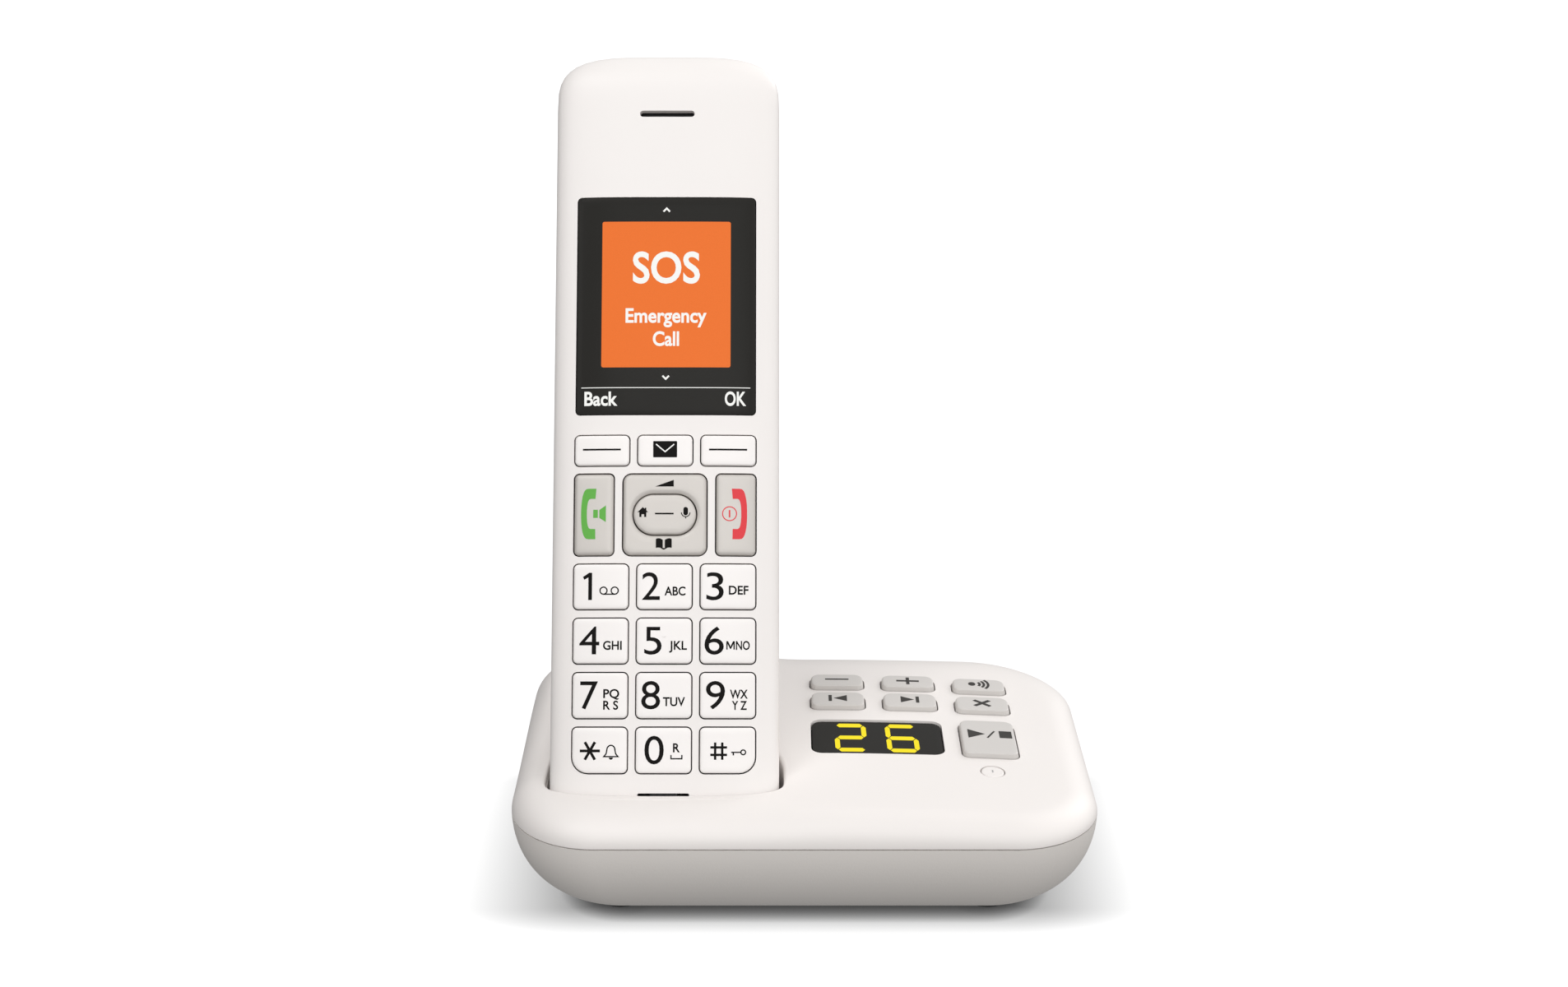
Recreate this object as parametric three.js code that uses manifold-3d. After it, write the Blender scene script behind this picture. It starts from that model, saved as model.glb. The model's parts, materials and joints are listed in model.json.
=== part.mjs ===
// A cordless telephone standing in its answering-machine base.
// Millimetres, +Z up, the keys face -Y, and the origin is under the middle of the whole phone.
import * as THREE from "three";
import { mergeVertices } from "three/addons/utils/BufferGeometryUtils.js";
import Module from "manifold-3d";

const wasm = await Module();
wasm.setup();

// ---------------------------------------------------------------- driving dimensions
const GAP = 0.3; // between pieces that meet
const WALL = 2.0; // thickness of the handset's casings

// base, in plan: x from -halfWidth to halfWidth, y from front to back
const BASE = {
  halfWidth: 63,
  front: -54,
  back: 34,
  frontRadius: 19,
  backRadius: 24,
  seamZ: 23, // where the two casings meet
  floorZ: 1.5, // underside, lifted by the feet
  wall: 2.2,
  bottomInset: 18, // how far the underside lies inside the seam
  sideRoll: 7, // width of the rounded shoulder at the right
  leftRoll: 5.6, // the shoulder is steeper beside the cradle
  frontRoll: 7,
  backRoll: 14,
  cradleRoll: 10, // the front shoulder is wider in front of the cradle
};
const PLATEAU = { z: 29.5, crown: 0.00056, cradleRise: 4.2 };

// handset, in its own frame: x across, y from its front face backwards, z along it from its lower end
const HANDSET = {
  length: 173.6,
  halfWidth: 24.6,
  depth: 25,
  widestY: 6, // how far behind its front face it is widest
  tipY: 11, // where its two ends come together
  splitY: 10.5, // where its two casings meet
  topRound: 13,
  endRound: 9,
  outlinePower: 3.2,
  facePower: 3.7, // squareness of the front half of its section
  backPower: 2.8,
  recline: THREE.MathUtils.degToRad(27),
};
const SEAT = { x: -30.0, y: -46.5, z: 20.0 }; // lower end of the handset's front face, in the base
const CUP = { clearance: 1.0, frontGap: 0.4, floorGap: 0.3, wall: 1.8 };

// handset keypad: columns and rows of centres
const KEY = { w: 11.7, h: 9.6, pitchX: 13.6, pitchZ: 11.6, bottomRowZ: 19.8, r: 1.0 };
const KEY_PROUD = 0.45;
const KEY_CLEARANCE = 0.35;
const KEY_FOOT_Y = 5.0; // how deep the keys reach
const OUTER_CORNER_R = 3.4; // the large corner of the star and hash keys
const SOFTKEY = { h: 6.5, z: 84.0 };
const CALL_KEY = { w: 8.45, h: 17.5, x: 15.25, z: 70.1 };
const NAV = { w: 17.9, h: 17.5, z: 70.1, r: 1.8, ovalW: 13.4, ovalH: 8.6 };
const SCREEN = { w: 38.8, h: 47.9, z: 115.8, r: 0.9 };
const EAR_SLOT = { w: 12, h: 1.4, z: 158.6 };
const MIC_SLOT = { w: 11, h: 0.7, z: 10.4 };
const COVER = { w: 38, h: 58, z: 71, r: 4, thick: 1.7 };
const CELL = { r: 5.15, length: 44.5, x: 5.45, y: 17.1, z: 71.2 };

// base keypad
const BASE_KEY = { w: 12.4, r: 1.6, proud: 1.1, clearance: 0.35, footZ: 24.2, stemZ: 21.0 };
const BASE_COLUMNS = [ // how far each column sits forward of its row
  { x: 8.0, drop: 0 },
  { x: 24.6, drop: 0.1 },
  { x: 41.2, drop: 0.7 },
];
const BASE_ROWS = [
  { y: 12.2, d: 6.4 },
  { y: 2.2, d: 7.2 },
];
const BASE_WINDOW = { w: 29, d: 15.9, r: 2.2, x: 16.4, y: -14.65, sunk: 0.3, thick: 1.6 };
const PLAY_KEY = { w: 12.4, d: 16.4, x: 41.2, y: -15.4 };
const ROUND_KEY = { r: 2.5, x: 40.9, y: -29.9 };
const BOARD_Z = [18.4, 20.0];
const FEET = { r: 4.5, x: 40, frontY: -34, backY: 12 };
const SCREWS = [[-26, 8], [44.5, -4.6], [26, -32.5], [3, -32.5]];
const SPEAKER = { r: 14, x: 27, y: -13 };

// ---------------------------------------------------------------- solids
const solidOf = (geometry) => {
  const bare = geometry.clone();
  bare.deleteAttribute("normal");
  bare.deleteAttribute("uv");
  const merged = mergeVertices(bare, 1e-4);
  return new wasm.Manifold(
    new wasm.Mesh({
      numProp: 3,
      vertProperties: new Float32Array(merged.attributes.position.array),
      triVerts: new Uint32Array(merged.index.array),
    }),
  );
};

const geometryOf = (solid) => {
  const mesh = solid.getMesh();
  return new THREE.BufferGeometry()
    .setAttribute("position", new THREE.BufferAttribute(mesh.vertProperties, 3))
    .setIndex(new THREE.BufferAttribute(mesh.triVerts, 1));
};

const box = (x, y, z) =>
  solidOf(
    new THREE.BoxGeometry(x[1] - x[0], y[1] - y[0], z[1] - z[0]).translate(
      (x[0] + x[1]) / 2,
      (y[0] + y[1]) / 2,
      (z[0] + z[1]) / 2,
    ),
  );

// An upright cylinder from z0 to z1.
const post = (r, x, y, z0, z1, segments = 16) =>
  solidOf(
    new THREE.CylinderGeometry(r, r, z1 - z0, segments)
      .rotateX(Math.PI / 2)
      .translate(x, y, (z0 + z1) / 2),
  );

// A disc lying across the handset's depth, from y0 to y1.
const disc = (r, x, z, y0, y1, segments = 16) =>
  solidOf(new THREE.CylinderGeometry(r, r, y1 - y0, segments).translate(x, (y0 + y1) / 2, z));

// A rectangle with round corners; radii run from the lower left one, anticlockwise.
const roundedRectangle = (w, h, radii, x = 0, y = 0) => {
  const [a, b, c, d] = Array.isArray(radii) ? radii : [radii, radii, radii, radii];
  const [l, r, t, u] = [x - w / 2, x + w / 2, y + h / 2, y - h / 2];
  return new THREE.Shape()
    .moveTo(l + a, u)
    .lineTo(r - b, u)
    .absarc(r - b, u + b, b, -Math.PI / 2, 0, false)
    .lineTo(r, t - c)
    .absarc(r - c, t - c, c, 0, Math.PI / 2, false)
    .lineTo(l + d, t)
    .absarc(l + d, t - d, d, Math.PI / 2, Math.PI, false)
    .lineTo(l, u + a)
    .absarc(l + a, u + a, a, Math.PI, 1.5 * Math.PI, false);
};

const extruded = (shape, depth, curveSegments) =>
  new THREE.ExtrudeGeometry(shape, { depth, bevelEnabled: false, curveSegments });

// A shape drawn in the base's plan and raised from z0 to z1.
const upright = (shape, z0, z1, curveSegments = 2) =>
  solidOf(extruded(shape, z1 - z0, curveSegments).translate(0, 0, z0));

// A shape drawn on the handset's face (x, z) and driven through it from y0 to y1.
const through = (shape, y0, y1, curveSegments = 2) =>
  solidOf(extruded(shape, y1 - y0, curveSegments).rotateX(Math.PI / 2).translate(0, y1, 0));

// A closed body through rings of points that have the same count, with a point or a fan at each end.
const loft = (rings) => {
  const count = rings[0].length;
  const middle = (ring) =>
    [0, 1, 2].map((k) => ring.reduce((sum, p) => sum + p[k], 0) / ring.length);
  const points = [...rings.flat(), middle(rings[0]), middle(rings.at(-1))];
  const first = rings.length * count;
  const index = [];
  for (let i = 0; i < count; i++) {
    const j = (i + 1) % count;
    for (let k = 0; k + 1 < rings.length; k++) {
      const [a, b] = [k * count, (k + 1) * count];
      index.push(a + i, a + j, b + j, a + i, b + j, b + i);
    }
    index.push(first, j, i, first + 1, first - count + i, first - count + j);
  }
  const geometry = new THREE.BufferGeometry()
    .setAttribute("position", new THREE.Float32BufferAttribute(points.flat(), 3))
    .setIndex(index);
  const solid = solidOf(geometry);
  return solid.volume() > 0 ? solid : null;
};

const smooth = (t) => {
  const c = Math.min(1, Math.max(0, t));
  return c * c * (3 - 2 * c);
};
const signedPower = (v, power) => Math.sign(v) * Math.abs(v) ** power;
const unite = (solids) => solids.reduce((sum, s) => sum.add(s));

// ---------------------------------------------------------------- base shapes
// Height of the base's top at a point, before its shoulders roll down.
const topZ = (x, y) => {
  const rise = PLATEAU.cradleRise * smooth((0 - x) / 32) * smooth((y + 34) / 40);
  return PLATEAU.z - PLATEAU.crown * x * x * smooth((x + 10) / 30) + rise;
};

const CORNER_STEPS = 5;
const SIDE_STEPS = 4;
// A rounded rectangle as a ring of points, anticlockwise from the front right corner.
const planRing = (halfWidth, front, back, rFront, rBack) => {
  const corners = [
    [halfWidth - rFront, front + rFront, rFront],
    [halfWidth - rBack, back - rBack, rBack],
    [-(halfWidth - rBack), back - rBack, rBack],
    [-(halfWidth - rFront), front + rFront, rFront],
  ];
  const ring = [];
  corners.forEach(([cx, cy, r], i) => {
    const start = (i - 1) * (Math.PI / 2);
    for (let k = 0; k <= CORNER_STEPS; k++) {
      const a = start + (k / CORNER_STEPS) * (Math.PI / 2);
      ring.push([cx + r * Math.cos(a), cy + r * Math.sin(a)]);
    }
    const [nx, ny, nr] = corners[(i + 1) % 4];
    const b = start + Math.PI / 2;
    const [px, py] = ring.at(-1);
    const [qx, qy] = [nx + nr * Math.cos(b), ny + nr * Math.sin(b)];
    for (let k = 1; k < SIDE_STEPS; k++) {
      const t = k / SIDE_STEPS;
      ring.push([px + (qx - px) * t, py + (qy - py) * t]);
    }
  });
  return ring;
};

// The upper body, grown by `offset`, from a level z0 up to its domed top.
const dome = (offset, z0) => {
  const width = BASE.halfWidth + offset;
  const [front, back] = [BASE.front - offset, BASE.back + offset];
  const ringAt = (side, fore, aft, keep) =>
    planRing(
      width - side,
      front + fore,
      back - aft,
      Math.max(BASE.frontRadius + offset - keep, 3),
      Math.max(BASE.backRadius + offset - keep, 3),
    );
  const rings = [ringAt(0, 0, 0, 0).map(([x, y]) => [x, y, z0])];
  for (const degrees of z0 < BASE.seamZ ? [0, 22, 45, 66, 90] : [22, 45, 66, 90]) {
    const a = THREE.MathUtils.degToRad(degrees);
    const t = 1 - Math.cos(a);
    const ring = ringAt(BASE.sideRoll * t, BASE.frontRoll * t, BASE.backRoll * t, BASE.sideRoll * t);
    rings.push(
      ring.map(([x, y]) => {
        const wider = (BASE.cradleRoll - BASE.frontRoll) * smooth((8 - x) / 24);
        const back = y + wider * t * smooth((-30 - y) / 15);
        const left = x - (BASE.sideRoll - BASE.leftRoll) * t * smooth((-30 - x) / 20);
        const full = topZ(left, back) + offset - BASE.seamZ;
        return [left, back, BASE.seamZ + full * Math.sin(a)];
      }),
    );
  }
  for (const inset of [6, 14, 24]) {
    const ring = ringAt(
      BASE.sideRoll + inset,
      BASE.cradleRoll + inset,
      BASE.backRoll + inset,
      BASE.sideRoll + inset,
    );
    rings.push(ring.map(([x, y]) => [x, y, topZ(x, y) + offset]));
  }
  return loft(rings);
};

// The lower body, grown by `offset`, from its flat underside to a level z1.
const hull = (offset, z1) => {
  const depth = BASE.seamZ - BASE.floorZ;
  const rings = [];
  for (const degrees of [90, 74, 58, 42, 26, 12, 0]) {
    const a = THREE.MathUtils.degToRad(degrees);
    const inset = BASE.bottomInset * (1 - Math.cos(a));
    const z = BASE.seamZ - (depth + offset) * Math.sin(a);
    rings.push(
      planRing(
        BASE.halfWidth + offset - inset,
        BASE.front - offset + inset,
        BASE.back + offset - inset,
        Math.max(BASE.frontRadius + offset - inset * 0.5, 3),
        Math.max(BASE.backRadius + offset - inset * 0.5, 3),
      ).map(([x, y]) => [x, y, degrees === 0 ? z1 : z]),
    );
  }
  return loft(rings);
};

// ---------------------------------------------------------------- handset shapes
const SECTION_POINTS = 32;
const FINE_ENDS = [88, 80, 68, 52, 34, 16, 0];
const PLAIN_ENDS = [86, 60, 30, 0];
// The handset's outer body, grown by `offset`; its front face touches y = -offset.
const body = (offset, ends = FINE_ENDS) => {
  const { length, halfWidth, depth, widestY, tipY, topRound, endRound, outlinePower } = HANDSET;
  const stations = [];
  for (const degrees of ends) {
    const a = THREE.MathUtils.degToRad(degrees);
    const reach = (endRound + offset) * Math.sin(a) ** (2 / outlinePower);
    stations.push([endRound - reach, Math.cos(a) ** (2 / outlinePower)]);
  }
  for (const degrees of [...ends].reverse()) {
    const a = THREE.MathUtils.degToRad(degrees);
    const reach = (topRound + offset) * Math.sin(a) ** (2 / outlinePower);
    stations.push([length - topRound + reach, Math.cos(a) ** (2 / outlinePower)]);
  }
  return loft(
    stations.map(([z, scale]) =>
      Array.from({ length: SECTION_POINTS }, (_, i) => {
        const a = (2 * Math.PI * (i + 0.5)) / SECTION_POINTS;
        const front = Math.sin(a) < 0;
        const power = 2 / (front ? HANDSET.facePower : HANDSET.backPower);
        const reach = (front ? widestY : depth - widestY) + offset;
        const y = widestY + reach * signedPower(Math.sin(a), power);
        return [
          (halfWidth + offset) * scale * signedPower(Math.cos(a), power),
          tipY + (y - tipY) * scale,
          z,
        ];
      }),
    ),
  );
};

const seatMatrix = new THREE.Matrix4()
  .makeTranslation(SEAT.x, SEAT.y, SEAT.z)
  .multiply(new THREE.Matrix4().makeRotationX(-HANDSET.recline));
// A solid of the handset's frame, placed in the base.
const seated = (solid) => solidOf(geometryOf(solid).applyMatrix4(seatMatrix));

// ---------------------------------------------------------------- materials and assembly
const material = (color, roughness, metalness = 0) =>
  new THREE.MeshStandardMaterial({ color, roughness, metalness });
const white = material(0xf3f1ee, 0.38);
const keyWhite = material(0xfaf9f7, 0.3);
const silver = material(0xc9c7c3, 0.35, 0.4);
const grey = material(0xcfcdca, 0.4);
const black = material(0x262624, 0.15);
const rubber = material(0x3a3a3a, 0.9);
const metal = material(0xc8b070, 0.3, 1);
const board = material(0x2f6b3f, 0.6);
const dark = material(0x2c2c2c, 0.6);

const phone = new THREE.Group();
const handset = new THREE.Group();
handset.position.set(SEAT.x, SEAT.y, SEAT.z);
handset.rotation.x = -HANDSET.recline;
phone.add(handset);

const put = (group, name, solid, look) => {
  const mesh = new THREE.Mesh(geometryOf(solid), look);
  mesh.name = name;
  group.add(mesh);
};

// ---------------------------------------------------------------- handset keys
const columnX = (column) => (column - 1) * KEY.pitchX;
const keys = [];
const addKey = (name, shape, hole, look) => keys.push({ name, shape, hole, look });
const plainKey = (name, w, h, x, z, radii, look) =>
  addKey(
    name,
    roundedRectangle(w, h, radii, x, z),
    roundedRectangle(
      w + 2 * KEY_CLEARANCE,
      h + 2 * KEY_CLEARANCE,
      (Array.isArray(radii) ? radii : [radii, radii, radii, radii]).map((r) => r + KEY_CLEARANCE),
      x,
      z,
    ),
    look,
  );

const KEYPAD = [
  ["key_star", "key_0", "key_hash"],
  ["key_7", "key_8", "key_9"],
  ["key_4", "key_5", "key_6"],
  ["key_1", "key_2", "key_3"],
];
KEYPAD.forEach((names, row) =>
  names.forEach((name, column) => {
    const radii = [KEY.r, KEY.r, KEY.r, KEY.r];
    if (name === "key_star") radii[0] = OUTER_CORNER_R;
    if (name === "key_hash") radii[1] = OUTER_CORNER_R;
    const z = KEY.bottomRowZ + row * KEY.pitchZ;
    plainKey(name, KEY.w, KEY.h, columnX(column), z, radii, keyWhite);
  }),
);
["softkey_left", "message_key", "softkey_right"].forEach((name, column) =>
  plainKey(name, KEY.w, SOFTKEY.h, columnX(column), SOFTKEY.z, KEY.r, keyWhite),
);
plainKey("talk_key", CALL_KEY.w, CALL_KEY.h, -CALL_KEY.x, CALL_KEY.z, KEY.r, silver);
plainKey("end_key", CALL_KEY.w, CALL_KEY.h, CALL_KEY.x, CALL_KEY.z, KEY.r, silver);
plainKey("nav_ring_key", NAV.w, NAV.h, 0, NAV.z, NAV.r, silver);

const face = body(0);
const keySkin = body(KEY_PROUD);
const KEY_START = -3; // ahead of every face
for (const { name, shape, look } of keys) {
  let solid = through(shape, KEY_START, KEY_FOOT_Y).intersect(keySkin);
  if (name === "nav_ring_key") {
    const w = NAV.ovalW + 2 * KEY_CLEARANCE;
    const h = NAV.ovalH + 2 * KEY_CLEARANCE;
    const well = through(roundedRectangle(w, h, h / 2 - 0.01, 0, NAV.z), KEY_START, 9, 6);
    solid = solid.subtract(well);
  }
  put(handset, name, solid, look);
}
const oval = roundedRectangle(NAV.ovalW, NAV.ovalH, NAV.ovalH / 2 - 0.01, 0, NAV.z);
put(
  handset,
  "nav_center_key",
  through(oval, KEY_START, KEY_FOOT_Y, 6).intersect(body(KEY_PROUD + 0.25)),
  silver,
);

// ---------------------------------------------------------------- handset casings
const inside = body(-WALL, PLAIN_ENDS);
const shell = face.subtract(inside);
const FAR = 60;
const SPLIT_Y = HANDSET.splitY;
const frontHalf = box([-FAR, FAR], [-FAR, SPLIT_Y - GAP / 2], [-FAR, 4 * FAR]);
const backHalf = box([-FAR, FAR], [SPLIT_Y + GAP / 2, FAR], [-FAR, 4 * FAR]);
const window = (grow) =>
  roundedRectangle(SCREEN.w + 2 * grow, SCREEN.h + 2 * grow, SCREEN.r + grow, 0, SCREEN.z);
const slot = ({ w, h, z }) => through(roundedRectangle(w, h, h / 2 - 0.01, 0, z), KEY_START, 4);

const frontCuts = [
  ...keys.map(({ hole }) => through(hole, KEY_START, 8)),
  through(window(GAP), KEY_START, 8),
  slot(EAR_SLOT),
  slot(MIC_SLOT),
];
// Charging contacts: pads let into the lower end, and the pins under them.
const PAD = { w: 5, d: 6, x: 9, y: 17, top: 1.3 };
const padBox = (side, grow) =>
  box(
    [side * PAD.x - PAD.w / 2 - grow, side * PAD.x + PAD.w / 2 + grow],
    [PAD.y - PAD.d / 2 - grow, PAD.y + PAD.d / 2 + grow],
    [-1, PAD.top + grow],
  );
put(handset, "handset_front_shell", shell.intersect(frontHalf).subtract(unite(frontCuts)), white);

const coverShape = (grow) =>
  roundedRectangle(COVER.w + 2 * grow, COVER.h + 2 * grow, COVER.r + grow, 0, COVER.z);
const coverBlock = (grow) => through(coverShape(grow), SPLIT_Y + 3, 30);
const ledge = face.subtract(body(-3.4)).intersect(coverBlock(2.4));
const trayOuter = box([-13.1, 13.1], [10.4, 23], [46, 96.5]).intersect(body(-2.4));
const pocket = box([-11.6, 11.6], [11.6, 30], [47.5, 95]);
const grille = [-2, -1, 0, 1, 2].map((i) =>
  through(roundedRectangle(12, 1.3, 0.64, 0, 130 + i * 3), 20, 30),
);
const rearShell = unite([shell.intersect(backHalf), ledge, trayOuter])
  .subtract(coverBlock(GAP).subtract(inside))
  .subtract(pocket)
  .subtract(unite([...grille, padBox(-1, GAP), padBox(1, GAP)]));
put(handset, "handset_rear_shell", rearShell, white);
put(
  handset,
  "battery_cover",
  face.subtract(body(-COVER.thick)).intersect(coverBlock(0)),
  white,
);

// ---------------------------------------------------------------- handset insides
put(
  handset,
  "display_window",
  face.subtract(body(-1.6)).intersect(through(window(0), KEY_START, 8)),
  black,
);
put(handset, "lcd_module", box([-17.5, 17.5], [3.4, 6.8], [95, 137]), dark);
put(handset, "keypad_mat", box([-20, 20], [5.6, 6.6], [13.5, 88.5]), rubber);
put(handset, "handset_circuit_board", box([-19, 19], [7.4, 8.6], [13, 150]), board);
put(handset, "ear_speaker", disc(6.2, 0, EAR_SLOT.z - 0.6, 3.4, 7.0), dark);
put(handset, "microphone", disc(3, 0, MIC_SLOT.z, 2.8, 5.2, 12), metal);
put(handset, "handsfree_speaker", disc(9.5, 0, 130, 14.5, 21), dark);
["left", "right"].forEach((side, i) => {
  const sign = 2 * i - 1;
  put(
    handset,
    `battery_cell_${side}`,
    post(CELL.r, sign * CELL.x, CELL.y, CELL.z - CELL.length / 2, CELL.z + CELL.length / 2),
    silver,
  );
  put(handset, `handset_contact_${side}`, padBox(sign, 0).intersect(body(-0.1)), metal);
});

// ---------------------------------------------------------------- base casings
// The hollow the handset stands in: its body grown all round, but close in front and below.
const hollow = (grow) =>
  seated(
    body(CUP.clearance + grow).translate(
      0,
      CUP.clearance - CUP.frontGap,
      CUP.clearance - CUP.floorGap,
    ),
  );
const cup = hollow(0);
const cupWall = hollow(CUP.wall).intersect(dome(-0.4, 3));
const pinTop = -0.2;
const pinBottom = -7;
const pinHoles = [-1, 1].map((side) =>
  seated(
    box(
      [side * PAD.x - 1.5 - GAP, side * PAD.x + 1.5 + GAP],
      [PAD.y - 2 - GAP, PAD.y + 2 + GAP],
      [pinBottom - 1, 0],
    ),
  ),
);

const smallKeyNames = [
  ["base_key_volume_down", "base_key_volume_up", "base_key_page"],
  ["base_key_previous", "base_key_next", "base_key_delete"],
];
const baseKeys = smallKeyNames.flatMap((names, row) =>
  names.map((name, column) => {
    const { x, drop } = BASE_COLUMNS[column];
    return [name, BASE_KEY.w, BASE_ROWS[row].d, x, BASE_ROWS[row].y - drop];
  }),
);
baseKeys.push(["base_key_play_stop", PLAY_KEY.w, PLAY_KEY.d, PLAY_KEY.x, PLAY_KEY.y]);
const keyHoles = baseKeys.map(([, w, d, x, y]) => {
  const grow = BASE_KEY.clearance;
  return upright(
    roundedRectangle(w + 2 * grow, d + 2 * grow, BASE_KEY.r + grow, x, y),
    BASE_KEY.footZ - 4,
    40,
  );
});
const windowShape = (grow) =>
  roundedRectangle(
    BASE_WINDOW.w + 2 * grow,
    BASE_WINDOW.d + 2 * grow,
    BASE_WINDOW.r + grow,
    BASE_WINDOW.x,
    BASE_WINDOW.y,
  );
const bosses = SCREWS.map(([x, y]) => post(3.2, x, y, 10.3, topZ(x, y) - 1));
const pilotHoles = SCREWS.map(([x, y]) => post(1.6, x, y, 9, 22, 12));
const upperShell = unite([
  dome(0, BASE.seamZ + GAP / 2).subtract(dome(-BASE.wall, BASE.seamZ - 1)),
  cupWall,
  ...bosses,
]).subtract(
  unite([
    cup,
    ...pinHoles,
    ...keyHoles,
    ...pilotHoles,
    upright(windowShape(GAP), 20, 40),
    post(ROUND_KEY.r + GAP, ROUND_KEY.x, ROUND_KEY.y, 20, 40, 16),
  ]),
);
put(phone, "base_upper_shell", upperShell, white);

// Jacks in the rear wall: each is a block with a square mouth that faces backwards.
const JACKS = [
  { name: "line_socket", x: 12, w: 13, h: 11.4, mouthW: 9.8, mouthH: 6.8, z: 12.2 },
  { name: "power_socket", x: 32, w: 11, h: 10.4, mouthW: 7.8, mouthH: 6.0, z: 12.2 },
];
const JACK_BACK = 14; // y of the blocks' inner ends
const JACK_FLOOR = 17; // y of the bottom of their mouths
const jackBlock = ({ x, w, h, z }, grow) =>
  box(
    [x - w / 2 - grow, x + w / 2 + grow],
    [JACK_BACK - grow, BASE.back],
    [z - h / 2 - grow, z + h / 2 + grow],
  );
const jackMouth = ({ x, mouthW, mouthH, z }) =>
  box(
    [x - mouthW / 2, x + mouthW / 2],
    [JACK_FLOOR, BASE.back],
    [z - mouthH / 2, z + mouthH / 2],
  );
const SLOT = { pitch: 3.2, width: 1.6, reach: 13 };
const speakerSlots = [-3, -2, -1, 0, 1, 2, 3].map((i) => {
  const half = Math.sqrt(SLOT.reach ** 2 - (i * SLOT.pitch) ** 2);
  const y = SPEAKER.y + i * SLOT.pitch;
  return box(
    [SPEAKER.x - half, SPEAKER.x + half],
    [y - SLOT.width / 2, y + SLOT.width / 2],
    [0, 5],
  );
});
const lowerBosses = SCREWS.map(([x, y]) => post(3.8, x, y, 2.2, 10));
const lowerShell = unite([
  hull(0, BASE.seamZ - GAP / 2).subtract(hull(-BASE.wall, BASE.seamZ + 1)),
  ...lowerBosses,
]).subtract(
  unite([
    ...SCREWS.map(([x, y]) => post(3.1, x, y, 0, 6.2)),
    ...SCREWS.map(([x, y]) => post(1.7, x, y, 5, 11, 12)),
    ...JACKS.map((jack) => jackBlock(jack, GAP)),
    ...speakerSlots,
  ]),
);
put(phone, "base_lower_shell", lowerShell, white);
const rearSkin = hull(-0.4, BASE.seamZ);
JACKS.forEach((jack) =>
  put(phone, jack.name, jackBlock(jack, 0).intersect(rearSkin).subtract(jackMouth(jack)), dark),
);

// ---------------------------------------------------------------- base keys and window
for (const [name, w, d, x, y] of baseKeys) {
  const top = topZ(x, y) + BASE_KEY.proud;
  const cap = upright(roundedRectangle(w, d, BASE_KEY.r, x, y), BASE_KEY.footZ, top);
  put(phone, name, cap.add(post(1.6, x, y, BASE_KEY.stemZ, BASE_KEY.footZ + 1, 12)), grey);
}
const roundTop = topZ(ROUND_KEY.x, ROUND_KEY.y);
put(
  phone,
  "base_key_answer_onoff",
  post(ROUND_KEY.r, ROUND_KEY.x, ROUND_KEY.y, BASE_KEY.stemZ, roundTop, 16),
  white,
);
put(
  phone,
  "base_display_window",
  upright(windowShape(0), 24, 40)
    .intersect(dome(-BASE_WINDOW.sunk, 20))
    .subtract(dome(-BASE_WINDOW.sunk - BASE_WINDOW.thick, 19)),
  black,
);

// ---------------------------------------------------------------- base insides
put(
  phone,
  "base_display_module",
  box([BASE_WINDOW.x - 12.6, BASE_WINDOW.x + 12.6], [-21, -7.4], [BOARD_Z[1] + GAP, 26.2]),
  dark,
);
const boardShape = new THREE.Shape([
  new THREE.Vector2(1, -28),
  new THREE.Vector2(50, -28),
  new THREE.Vector2(50, 16),
  new THREE.Vector2(40, 16),
  new THREE.Vector2(40, 29),
  new THREE.Vector2(1, 29),
]);
const boardHole = post(4, ...SCREWS[1], BOARD_Z[0] - 1, BOARD_Z[1] + 1, 12);
put(phone, "base_circuit_board", upright(boardShape, ...BOARD_Z).subtract(boardHole), board);
put(phone, "base_speaker", post(SPEAKER.r, SPEAKER.x, SPEAKER.y, 4.4, 11, 20), dark);
["left", "right"].forEach((side, i) => {
  const x = (2 * i - 1) * PAD.x;
  const pin = box([x - 1.5, x + 1.5], [PAD.y - 2, PAD.y + 2], [pinBottom, pinTop]);
  put(handset, `cradle_contact_${side}`, pin, metal);
});
[
  ["front_left", -1, FEET.frontY],
  ["front_right", 1, FEET.frontY],
  ["rear_left", -1, FEET.backY],
  ["rear_right", 1, FEET.backY],
].forEach(([place, side, y]) =>
  put(phone, `foot_${place}`, post(FEET.r, side * FEET.x, y, 0, BASE.floorZ - 0.05, 16), rubber),
);
SCREWS.forEach(([x, y], i) =>
  put(
    phone,
    `base_screw_${i + 1}`,
    post(2.6, x, y, 3.6, 5.9, 12).add(post(1.25, x, y, 5.5, 18, 8)),
    metal,
  ),
);

// The origin lies midway between the base's front edge and the handset's leaning top.
const span = new THREE.Box3().setFromObject(phone, true);
phone.position.y = -(span.min.y + span.max.y) / 2;

export default phone;
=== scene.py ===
# A cordless telephone in its answering-machine base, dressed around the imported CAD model.
# Points are in millimetres until they become a mesh; Blender's frame is in metres.
import math
from collections import namedtuple

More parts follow.
